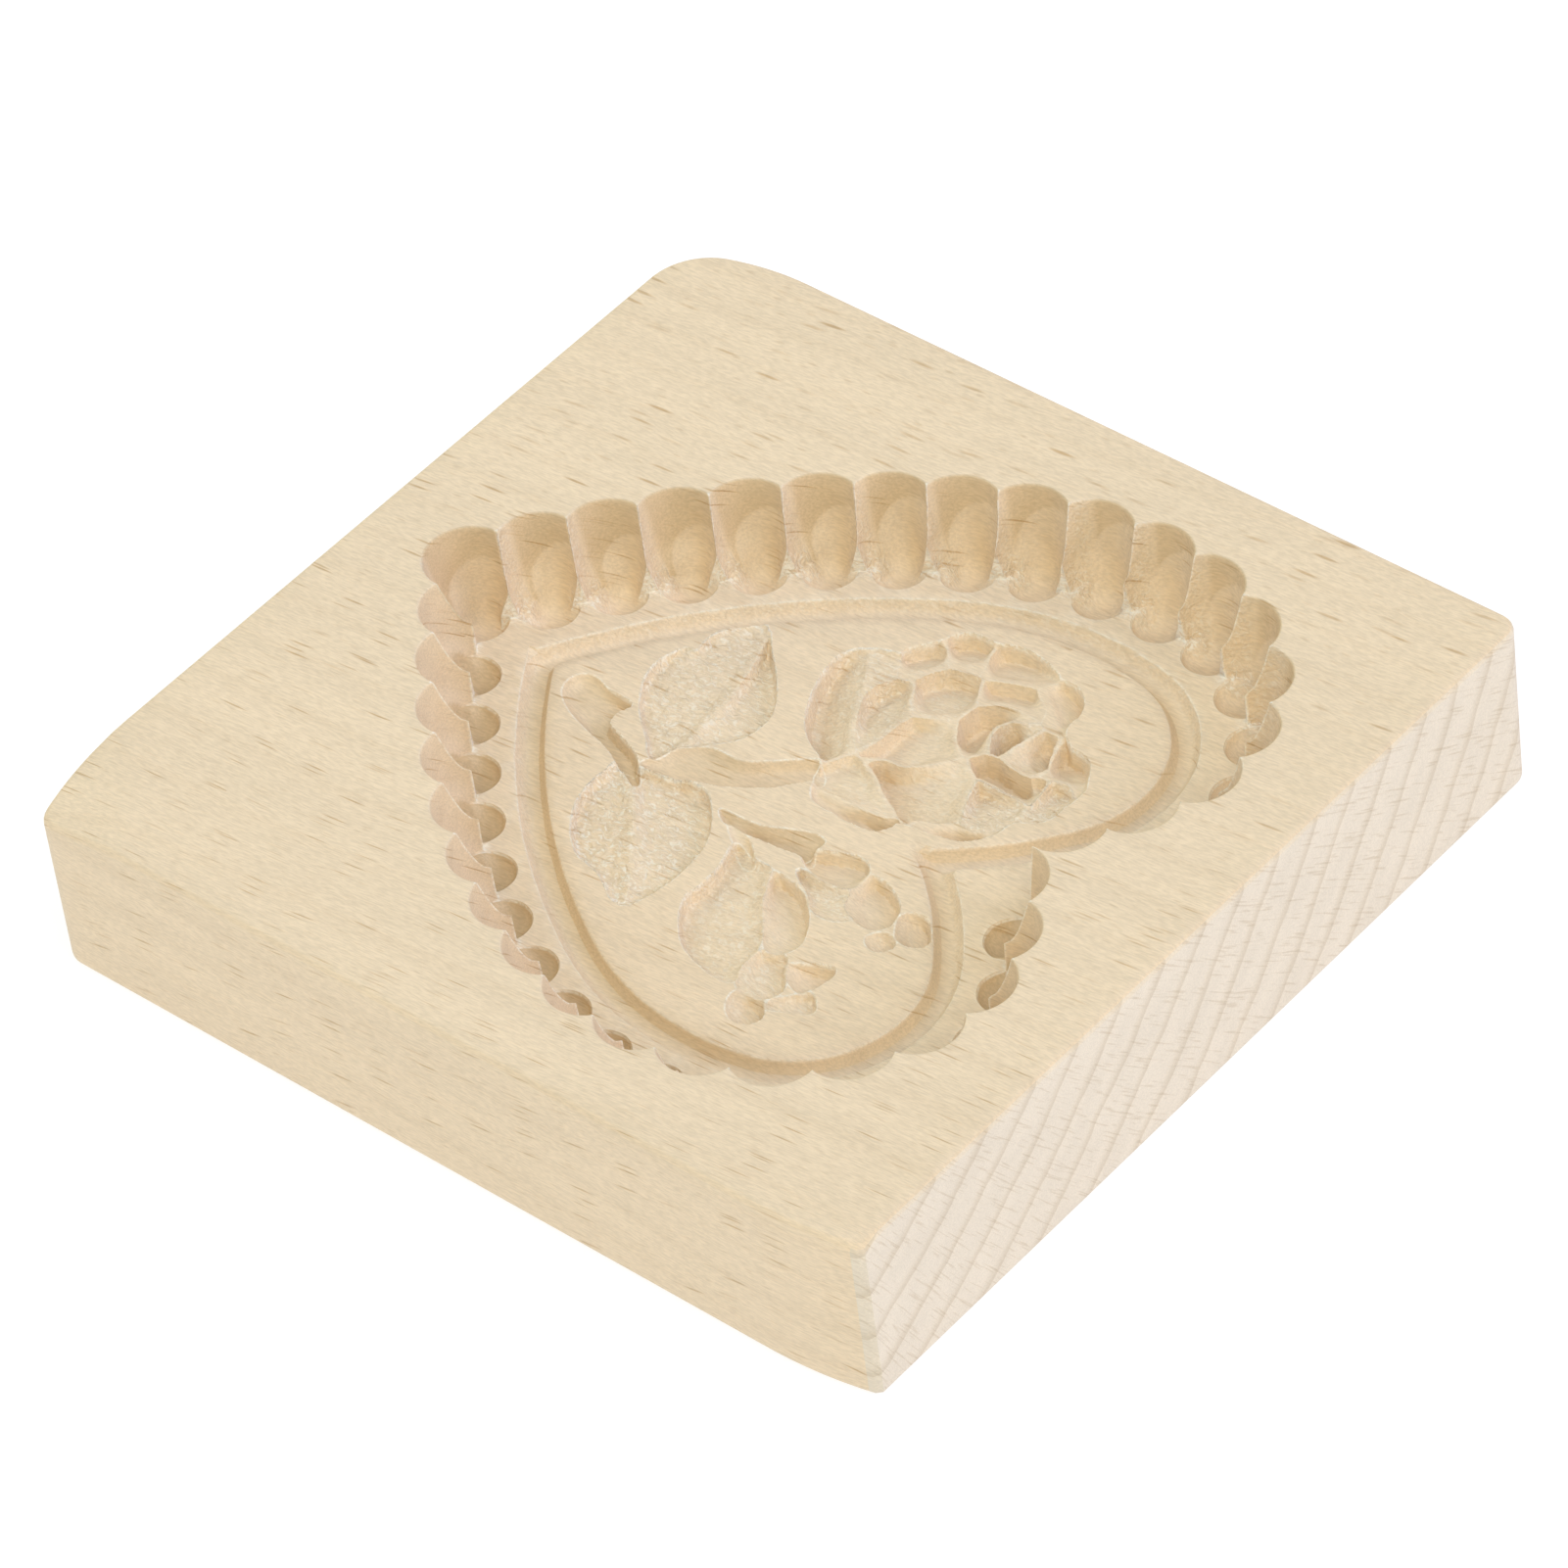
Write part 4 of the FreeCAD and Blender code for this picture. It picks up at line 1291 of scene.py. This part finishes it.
class Graph:
    """Adds nodes to a node tree and links them."""

    def __init__(self, tree: bpy.types.NodeTree) -> None:
        """Work on one node tree."""
        self.tree = tree

    def node(self, kind: str, inputs: dict[str | int, object] | None = None,
             **settings: object) -> bpy.types.Node:
        """Add a node.

        Args:
            kind: the node's type name.
            inputs: a value or a socket for each named or numbered input.
            settings: the node's own settings.

        Returns:
            The node.
        """
        made = self.tree.nodes.new(kind)
        for name, value in settings.items():
            setattr(made, name, value)
        for name, value in (inputs or {}).items():
            if isinstance(value, bpy.types.NodeSocket):
                self.tree.links.new(value, made.inputs[name])
            else:
                made.inputs[name].default_value = value
        return made

    def math(self, operation: str, first: object, second: object = 0.0) -> bpy.types.NodeSocket:
        """Add a calculation and return its result."""
        return self.node("ShaderNodeMath", {0: first, 1: second}, operation=operation).outputs[0]

    def fit(self, value: object, low: float, high: float, to_low: float = 0.0,
            to_high: float = 1.0) -> bpy.types.NodeSocket:
        """Ease a value from one range to another and return the result."""
        inputs = {"Value": value, "From Min": low, "From Max": high, "To Min": to_low, "To Max": to_high}
        return self.node("ShaderNodeMapRange", inputs, interpolation_type="SMOOTHSTEP").outputs[0]

    def mix(self, share: object, first: object, second: object,
            blend: str = "MIX") -> bpy.types.NodeSocket:
        """Mix two colours.

        Args:
            share: how much of the second colour.
            first: the first colour, or its socket.
            second: the second colour, or its socket.
            blend: how they are blended.

        Returns:
            The mixed colour.
        """
        made = self.node("ShaderNodeMix", {0: share}, data_type="RGBA", blend_type=blend)
        for number, value in ((6, first), (7, second)):
            if isinstance(value, bpy.types.NodeSocket):
                self.tree.links.new(value, made.inputs[number])
            else:
                made.inputs[number].default_value = (*value, 1.0)
        return made.outputs[2]

    def times(self, first: object, second: object) -> bpy.types.NodeSocket:
        """Multiply two values and return the result."""
        return self.math("MULTIPLY", first, second)

    def noise(self, place: object, detail: float = 2.0, rough: float = 0.5) -> bpy.types.NodeSocket:
        """Add a noise texture and return its value."""
        inputs = {"Vector": place, "Scale": 1.0, "Detail": detail, "Roughness": rough}
        return self.node("ShaderNodeTexNoise", inputs).outputs[0]

    def place(self) -> bpy.types.NodeSocket:
        """Return the place on the object, in millimetres."""
        spot = self.node("ShaderNodeTexCoord").outputs["Object"]
        return self.scaled(spot, 1.0 / MM)

    def scaled(self, place: object, scale: object) -> bpy.types.NodeSocket:
        """Multiply a place by a number and return the result."""
        inputs = {0: place, "Scale": scale}
        return self.node("ShaderNodeVectorMath", inputs, operation="SCALE").outputs[0]

    def stretched(self, place: object, size: Colour) -> bpy.types.NodeSocket:
        """Divide a place by a size along each axis and return the result."""
        made = self.node("ShaderNodeVectorMath", {0: place, 1: size}, operation="DIVIDE")
        return made.outputs[0]


class MaskGroup:
    """A shader node group that gives masks and values."""

    def __init__(self, name: str, inputs: dict[str, float], outputs: tuple[str, ...]) -> None:
        """Make the group with its inputs and outputs.

        Args:
            name: the group's name.
            inputs: each input's name and value.
            outputs: the outputs' names.
        """
        self.tree = bpy.data.node_groups.new(name, "ShaderNodeTree")
        faces = self.tree.interface
        for label, value in inputs.items():
            socket = faces.new_socket(name=label, in_out="INPUT", socket_type="NodeSocketFloat")
            socket.default_value = value
        for label in outputs:
            faces.new_socket(name=label, in_out="OUTPUT", socket_type="NodeSocketFloat")
        self.graph = Graph(self.tree)
        self.given = self.graph.node("NodeGroupInput").outputs
        self.taken = self.graph.node("NodeGroupOutput").inputs

    def give(self, name: str, value: bpy.types.NodeSocket) -> None:
        """Link a value to one of the group's outputs."""
        self.tree.links.new(value, self.taken[name])


class GrainGroup(MaskGroup):
    """The beech's own figure: ray flecks, fibres, growth rings and rays."""

    pith_side: float = 100.0
    pith_height: float = 96.6
    ring_radius: float = 135.0
    lean: float = 0.09
    wander: float = 1.6
    flecks: tuple[tuple[str, Colour, float], ...] = (
        ("Flecks", (6.2, 9.0, 0.33), 0.42),
        ("Faint Flecks", (2.4, 4.0, 0.24), 0.35),
    )

    def __init__(self) -> None:
        """Build the group once."""
        outputs = ("Flecks", "Faint Flecks", "Fibres", "Streaks", "Rings", "Rays")
        super().__init__("beech_figure", {"Fleck Share": 0.5, "Ring Pitch": 4.6}, outputs)
        graph = self.graph
        place = graph.place()
        bend = graph.node("ShaderNodeTexNoise", {"Vector": place, "Scale": 0.05, "Detail": 1.0})
        parts = graph.node("ShaderNodeSeparateXYZ", {0: place})
        x, y, z = parts.outputs
        tilt = graph.times(x, self.lean)
        wander = graph.times(graph.math("SUBTRACT", bend.outputs[0], 0.5), self.wander)
        y = graph.math("ADD", graph.math("SUBTRACT", y, tilt), wander)
        side = graph.math("ADD", y, self.pith_side)
        below = graph.math("SUBTRACT", self.pith_height, z)
        square = graph.math("ADD", graph.times(side, side), graph.times(below, below))
        radial = graph.math("SQRT", square)
        around = graph.times(graph.math("ARCTAN2", side, below), self.ring_radius)
        figure = graph.node("ShaderNodeCombineXYZ", {0: x, 1: radial, 2: around}).outputs[0]
        for name, size, share in self.flecks:
            inputs = {"Vector": graph.stretched(figure, size), "Scale": 1.0}
            cell = graph.node("ShaderNodeTexVoronoi", inputs)
            shape = graph.fit(cell.outputs["Distance"], 0.34, 0.1)
            chance = graph.node("ShaderNodeSeparateColor", {0: cell.outputs["Color"]}).outputs[0]
            keep = graph.fit(chance, share, 1.0)
            if name == "Flecks":
                keep = graph.times(keep, graph.times(self.given["Fleck Share"], 2.0))
            self.give(name, graph.times(shape, keep))
        self.give("Fibres", graph.noise(graph.stretched(figure, (1.1, 0.2, 0.2)), 2.0, 0.6))
        streaks = graph.noise(graph.stretched(figure, (38.0, 2.2, 6.0)), 2.0, 0.55)
        self.give("Streaks", streaks)
        warped = graph.math("ADD", radial, graph.times(streaks, 1.2))
        turn = graph.math("FRACT", graph.math("DIVIDE", warped, self.given["Ring Pitch"]))
        late = graph.fit(turn, 0.55, 0.97)
        early = graph.fit(turn, 1.0, 0.975)
        self.give("Rings", graph.times(graph.math("POWER", late, 2.5), early))
        rays = graph.noise(graph.stretched(figure, (6.0, 3.5, 0.22)), 1.0, 0.5)
        self.give("Rays", graph.fit(rays, 0.56, 0.72))


class TornGroup(MaskGroup):
    """Torn fibres in the carving."""

    def __init__(self) -> None:
        """Build the group once."""
        super().__init__("torn_fibres", {"Size": 1.0}, ("Fuzz", "Ridges"))
        graph = self.graph
        place = graph.scaled(graph.place(), self.given["Size"])
        curl = graph.node("ShaderNodeTexNoise", {"Vector": place, "Scale": 0.9, "Detail": 1.0})
        moved = graph.node("ShaderNodeVectorMath", {0: curl.outputs[1], 1: (1.6, 1.6, 1.6), 2: place},
                           operation="MULTIPLY_ADD").outputs[0]
        self.give("Ridges", graph.noise(graph.stretched(moved, (1.3, 0.42, 0.5)), 2.0, 0.6))
        fuzz = graph.noise(graph.stretched(moved, (1.0, 0.33, 0.4)), 2.0, 0.65)
        self.give("Fuzz", graph.fit(fuzz, 0.5, 0.66))


@dataclass(frozen=True)
class Beech:
    """Raw beech: its colour, and how strongly its figure shows."""

    name: str
    wood: Colour
    fleck: Colour = (0.74, 0.64, 0.51)
    fleck_share: float = 0.5
    faint_share: float = 0.35
    fibre_light: float = 0.09
    streak_light: float = 0.028
    edge_wood: Colour = (0.76, 0.56, 0.33)
    ring_tint: Colour = (0.93, 0.90, 0.86)
    ring_share: float = 0.25
    ray_tint: Colour = (0.80, 0.74, 0.66)
    ray_share: float = 0.0
    roughness: float = 0.62
    specular: float = 0.3
    relief_share: float = 0.25
    relief_height: float = 0.06

    def coloured(self, graph: Graph, figure: bpy.types.Node, wood: object) -> bpy.types.NodeSocket:
        """Lay the wood's figure over its colour.

        Args:
            graph: the material's nodes.
            figure: the node of the beech figure.
            wood: the plain colour.

        Returns:
            The figured colour.
        """
        out = figure.outputs
        rings = graph.times(out["Rings"], self.ring_share)
        colour = graph.mix(rings, wood, self.ring_tint, "MULTIPLY")
        if self.ray_share:
            rays = graph.times(out["Rays"], self.ray_share)
            colour = graph.mix(rays, colour, self.ray_tint, "MULTIPLY")
        for name, light in (("Fibres", self.fibre_light), ("Streaks", self.streak_light)):
            level = graph.fit(out[name], 0.25, 0.75, 1.0 - light, 1.0 + light)
            level = graph.node("ShaderNodeCombineColor", {0: level, 1: level, 2: level}).outputs[0]
            colour = graph.mix(1.0, colour, level, "MULTIPLY")
        faint = graph.times(out["Faint Flecks"], self.faint_share)
        flecks = graph.math("MAXIMUM", out["Flecks"], faint)
        return graph.mix(flecks, colour, self.fleck, "MULTIPLY")

    def begin(self, grain: GrainGroup) -> tuple[bpy.types.Material, Graph, bpy.types.Node]:
        """Start the material with its shader and the wood's figure.

        Args:
            grain: the group of the beech figure.

        Returns:
            The material, its nodes and the node of the figure.
        """
        made = bpy.data.materials.new(self.name)
        made.use_nodes = True
        graph = Graph(made.node_tree)
        shader = made.node_tree.nodes["Principled BSDF"]
        shader.inputs["Roughness"].default_value = self.roughness
        shader.inputs["Specular IOR Level"].default_value = self.specular
        figure = graph.node("ShaderNodeGroup", node_tree=grain.tree)
        figure.inputs["Fleck Share"].default_value = self.fleck_share
        return made, graph, figure

    def finish(self, graph: Graph, colour: bpy.types.NodeSocket, height: bpy.types.NodeSocket) -> None:
        """Link the colour and the fine relief to the shader.

        Args:
            graph: the material's nodes.
            colour: the wood's colour.
            height: the height of the relief.
        """
        shader = graph.tree.nodes["Principled BSDF"]
        graph.tree.links.new(colour, shader.inputs["Base Color"])
        inputs = {"Strength": self.relief_share, "Distance": self.relief_height * MM, "Height": height}
        graph.tree.links.new(graph.node("ShaderNodeBump", inputs).outputs[0], shader.inputs["Normal"])

    def material(self, grain: GrainGroup, tear_and_painted_light: TornGroup) -> bpy.types.Material:
        """Make the material.

        Args:
            grain: the group of the beech figure.
            tear_and_painted_light: the group of fibre fuzz and ridges; not used here.

        Returns:
            The material.
        """
        made, graph, figure = self.begin(grain)
        height = graph.math("SUBTRACT", figure.outputs["Fibres"], figure.outputs["Flecks"])
        normal = graph.node("ShaderNodeNewGeometry").outputs["Normal"]
        nz = graph.node("ShaderNodeSeparateXYZ", {0: normal}).outputs[2]
        eased = graph.times(graph.fit(nz, 0.15, 0.4), graph.fit(nz, 0.99, 0.85))
        wood = graph.mix(graph.times(eased, 0.25), self.wood, self.edge_wood)
        self.finish(graph, self.coloured(graph, figure, wood), height)
        return made


@dataclass(frozen=True)
class CarvedBeech(Beech):
    """Beech where gouges cut it: grey and ragged where the fibres tore, with painted shade in brown on
    steep walls and shaded sides, painted light in grey on lit sides, and a painted whitish highlight
    along edges.
    """

    # Of these colours, the steep brown and the deep brown are painted shade, the grey stands for tearing
    # and painted light, and the whitish one for fuzz and painted highlights.
    steep_shade_wood: Colour = (0.735, 0.575, 0.380)
    fleck: Colour = (0.80, 0.70, 0.58)
    torn_and_lit_grey: Colour = (0.775, 0.625, 0.455)
    painted_shade_wood: Colour = (0.625, 0.465, 0.280)
    fuzz_and_highlight_white: Colour = (0.87, 0.81, 0.70)
    roughness: float = 0.75
    specular: float = 0.25
    relief_share: float = 0.6
    relief_height: float = 0.25

    def material(self, grain: GrainGroup, tear_and_painted_light: TornGroup) -> bpy.types.Material:
        """Make the material.

        Args:
            grain: the group of the beech figure.
            tear_and_painted_light: the group of fibre fuzz and ridges, whose ridges also paint shade.

        Returns:
            The material.
        """
        made, graph, figure = self.begin(grain)
        ragged = graph.node("ShaderNodeGroup", node_tree=tear_and_painted_light.tree).outputs
        # This mark holds the tearing and painted light above zero, and painted shade below zero.
        tone = graph.node("ShaderNodeAttribute", attribute_name="tear_and_painted_light").outputs["Fac"]
        mask = graph.math("MAXIMUM", tone, 0.0)
        normal = graph.node("ShaderNodeNewGeometry").outputs["Normal"]
        nx, _, nz = graph.node("ShaderNodeSeparateXYZ", {0: normal}).outputs
        # Painted shade: steep walls are browned.
        steep = graph.fit(nz, 0.97, 0.45)
        # Painted shade: marks below zero paint the wood deep brown.
        painted_shade = graph.fit(tone, 0.05, -1.0)
        # Painted light: surfaces facing +X, towards the light, are painted grey.
        painted_side_light = graph.times(graph.fit(nx, 0.0, 0.55), graph.math("SUBTRACT", 1.0, painted_shade))
        wood = graph.mix(steep, self.wood, self.steep_shade_wood)
        wood = graph.mix(graph.times(painted_shade, 0.9), wood, self.painted_shade_wood)
        # Grey where the fibres tore and as painted light.
        grey = graph.math("MAXIMUM", graph.times(mask, 0.8), graph.times(painted_side_light, 0.5))
        wood = graph.mix(grey, wood, self.torn_and_lit_grey)
        shade = graph.times(graph.fit(ragged["Ridges"], 0.6, 0.38), mask)
        wood = graph.mix(graph.times(shade, 0.45), wood, self.steep_shade_wood)
        # Painted highlight: a whitish line along edges and ridge tops, broken by the fibre ridges.
        crest_highlight = graph.node("ShaderNodeAttribute", attribute_name="crest_highlight").outputs["Fac"]
        broken = graph.fit(ragged["Ridges"], 0.35, 0.6, 0.2, 0.95)
        crest_highlight = graph.times(graph.fit(crest_highlight, 0.2, 1.0), broken)
        wood = graph.mix(crest_highlight, wood, self.fuzz_and_highlight_white)
        white = graph.times(graph.times(ragged["Fuzz"], mask), 0.75)
        wood = graph.mix(white, self.coloured(graph, figure, wood), self.fuzz_and_highlight_white)
        ridges = graph.times(ragged["Ridges"], graph.fit(mask, 0.0, 0.8, 0.15, 2.2))
        height = graph.math("SUBTRACT", ridges, graph.times(figure.outputs["Flecks"], 0.2))
        self.finish(graph, wood, height)
        return made


class Finishes:
    """All finishes of the mould."""

    def __init__(self) -> None:
        """Settle each finish's look."""
        plain = (0.755, 0.605, 0.430)
        self.looks: dict[Finish, Beech] = {
            Finish.PLANED: Beech("beech_planed", plain),
            Finish.END_GRAIN: Beech("beech_end_grain", (0.73, 0.635, 0.515), fleck_share=0.05,
                                    faint_share=0.1, fibre_light=0.06, ring_tint=(0.80, 0.75, 0.68),
                                    ring_share=0.6, ray_share=0.55, roughness=0.8),
            Finish.CARVED: CarvedBeech("beech_carved", plain, fleck_share=0.55),
        }

    def dress(self, piece: bpy.types.Object) -> None:
        """Put the materials into the piece's slots."""
        grain, tear_and_painted_light = GrainGroup(), TornGroup()
        for finish in Finish:
            piece.data.materials.append(self.looks[finish].material(grain, tear_and_painted_light))


@dataclass(frozen=True)
class SoftLight:
    """A wide, far light: where it stands, how strong it is, its tint and its spread."""

    name: str
    azimuth: float
    elevation: float
    strength: float
    tint: Colour
    spread: float

    def add(self) -> None:
        """Add the light to the scene."""
        data = bpy.data.lights.new(self.name, "SUN")
        data.energy = self.strength * math.pi
        data.color = self.tint
        data.angle = math.radians(self.spread)
        lamp = bpy.data.objects.new(self.name, data)
        turn, rise = math.radians(self.azimuth), math.radians(self.elevation)
        level = math.cos(rise)
        toward = Vector((level * math.cos(turn), level * math.sin(turn), math.sin(rise)))
        lamp.matrix_world = toward.to_track_quat("Z", "Y").to_matrix().to_4x4()
        bpy.context.scene.collection.objects.link(lamp)


@dataclass(frozen=True)
class Studio:
    """The camera, the pale floor and the soft lights."""

    camera_place: tuple[float, float, float] = (435.889, -425.082, 590.521)
    camera_target: tuple[float, float, float] = (-0.213, 0.567, 10.0)
    camera_roll: float = -7.981
    lens: float = 201.743
    sky: float = 0.39
    sky_tint: Colour = (0.84, 0.95, 1.0)
    floor_half: float = 3.0
    floor_drop: float = 0.05
    floor_paint: Colour = (0.3, 0.3, 0.3)
    floor_glow: float = 0.75
    lights: tuple[SoftLight, ...] = (
        SoftLight("right_box", 35.0, 27.0, 0.38, (0.80, 0.78, 1.0), 35.0),
        SoftLight("back_box", 157.0, 25.0, 0.25, (1.0, 0.9, 0.5), 35.0),
        SoftLight("left_box", 215.0, 25.0, 0.20, (0.6, 0.75, 1.0), 35.0),
        SoftLight("front_box", 293.0, 34.0, 0.205, (1.0, 0.94, 0.78), 35.0),
        SoftLight("camera_box", 315.0, 50.0, 0.17, (1.0, 0.88, 0.5), 35.0),
        SoftLight("high_box", 0.0, 68.0, 0.30, (0.75, 0.85, 1.0), 35.0),
    )

    def add_camera(self) -> None:
        """Put the camera where the photograph was taken."""
        data = bpy.data.cameras.new("camera")
        data.lens = self.lens
        data.sensor_width = 36.0
        data.clip_start = 0.01
        camera = bpy.data.objects.new("camera", data)
        place, target = Vector(self.camera_place) * MM, Vector(self.camera_target) * MM
        turn = (target - place).to_track_quat("-Z", "Y").to_matrix().to_4x4()
        roll = Matrix.Rotation(math.radians(self.camera_roll), 4, "Z")
        camera.matrix_world = Matrix.Translation(place) @ turn @ roll
        bpy.context.scene.collection.objects.link(camera)
        bpy.context.scene.camera = camera

    def add_floor(self) -> None:
        """Lay the pale floor."""
        mesh = bpy.data.meshes.new("floor")
        half = self.floor_half
        corners = [(-half, -half, 0), (half, -half, 0), (half, half, 0), (-half, half, 0)]
        mesh.from_pydata(corners, [], [(0, 1, 2, 3)])
        floor = bpy.data.objects.new("floor", mesh)
        floor.location.z = -self.floor_drop * MM
        bpy.context.scene.collection.objects.link(floor)
        paint = bpy.data.materials.new("floor_white")
        paint.use_nodes = True
        shader = paint.node_tree.nodes["Principled BSDF"]
        shader.inputs["Base Color"].default_value = (*self.floor_paint, 1.0)
        shader.inputs["Roughness"].default_value = 0.9
        shader.inputs["Emission Color"].default_value = (1.0, 1.0, 1.0, 1.0)
        shader.inputs["Emission Strength"].default_value = self.floor_glow
        mesh.materials.append(paint)
        floor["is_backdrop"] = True

    def add_lights(self) -> None:
        """Set the sky and the soft lights."""
        world = bpy.data.worlds.new("sky")
        world.use_nodes = True
        background = world.node_tree.nodes["Background"]
        background.inputs["Color"].default_value = (*self.sky_tint, 1.0)
        background.inputs["Strength"].default_value = self.sky
        bpy.context.scene.world = world
        for light in self.lights:
            light.add()

    def set_up(self) -> None:
        """Add everything round the mould."""
        self.add_camera()
        self.add_floor()
        self.add_lights()
        bpy.context.scene.view_settings.view_transform = "Standard"


def main() -> None:
    """Build the mould and the studio round it."""
    logging.basicConfig(level=logging.INFO, format="%(name)s: %(message)s")
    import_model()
    cad_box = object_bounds()
    board = Mould().build()
    Finishes().dress(board)
    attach(board, "root")
    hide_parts("mould")
    Studio().set_up()
    boxes = {"cad": cad_box, "visual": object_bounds()}
    sizes = {name: [list(corner) for corner in box] for name, box in boxes.items()}


if __name__ == "__main__":
    main()
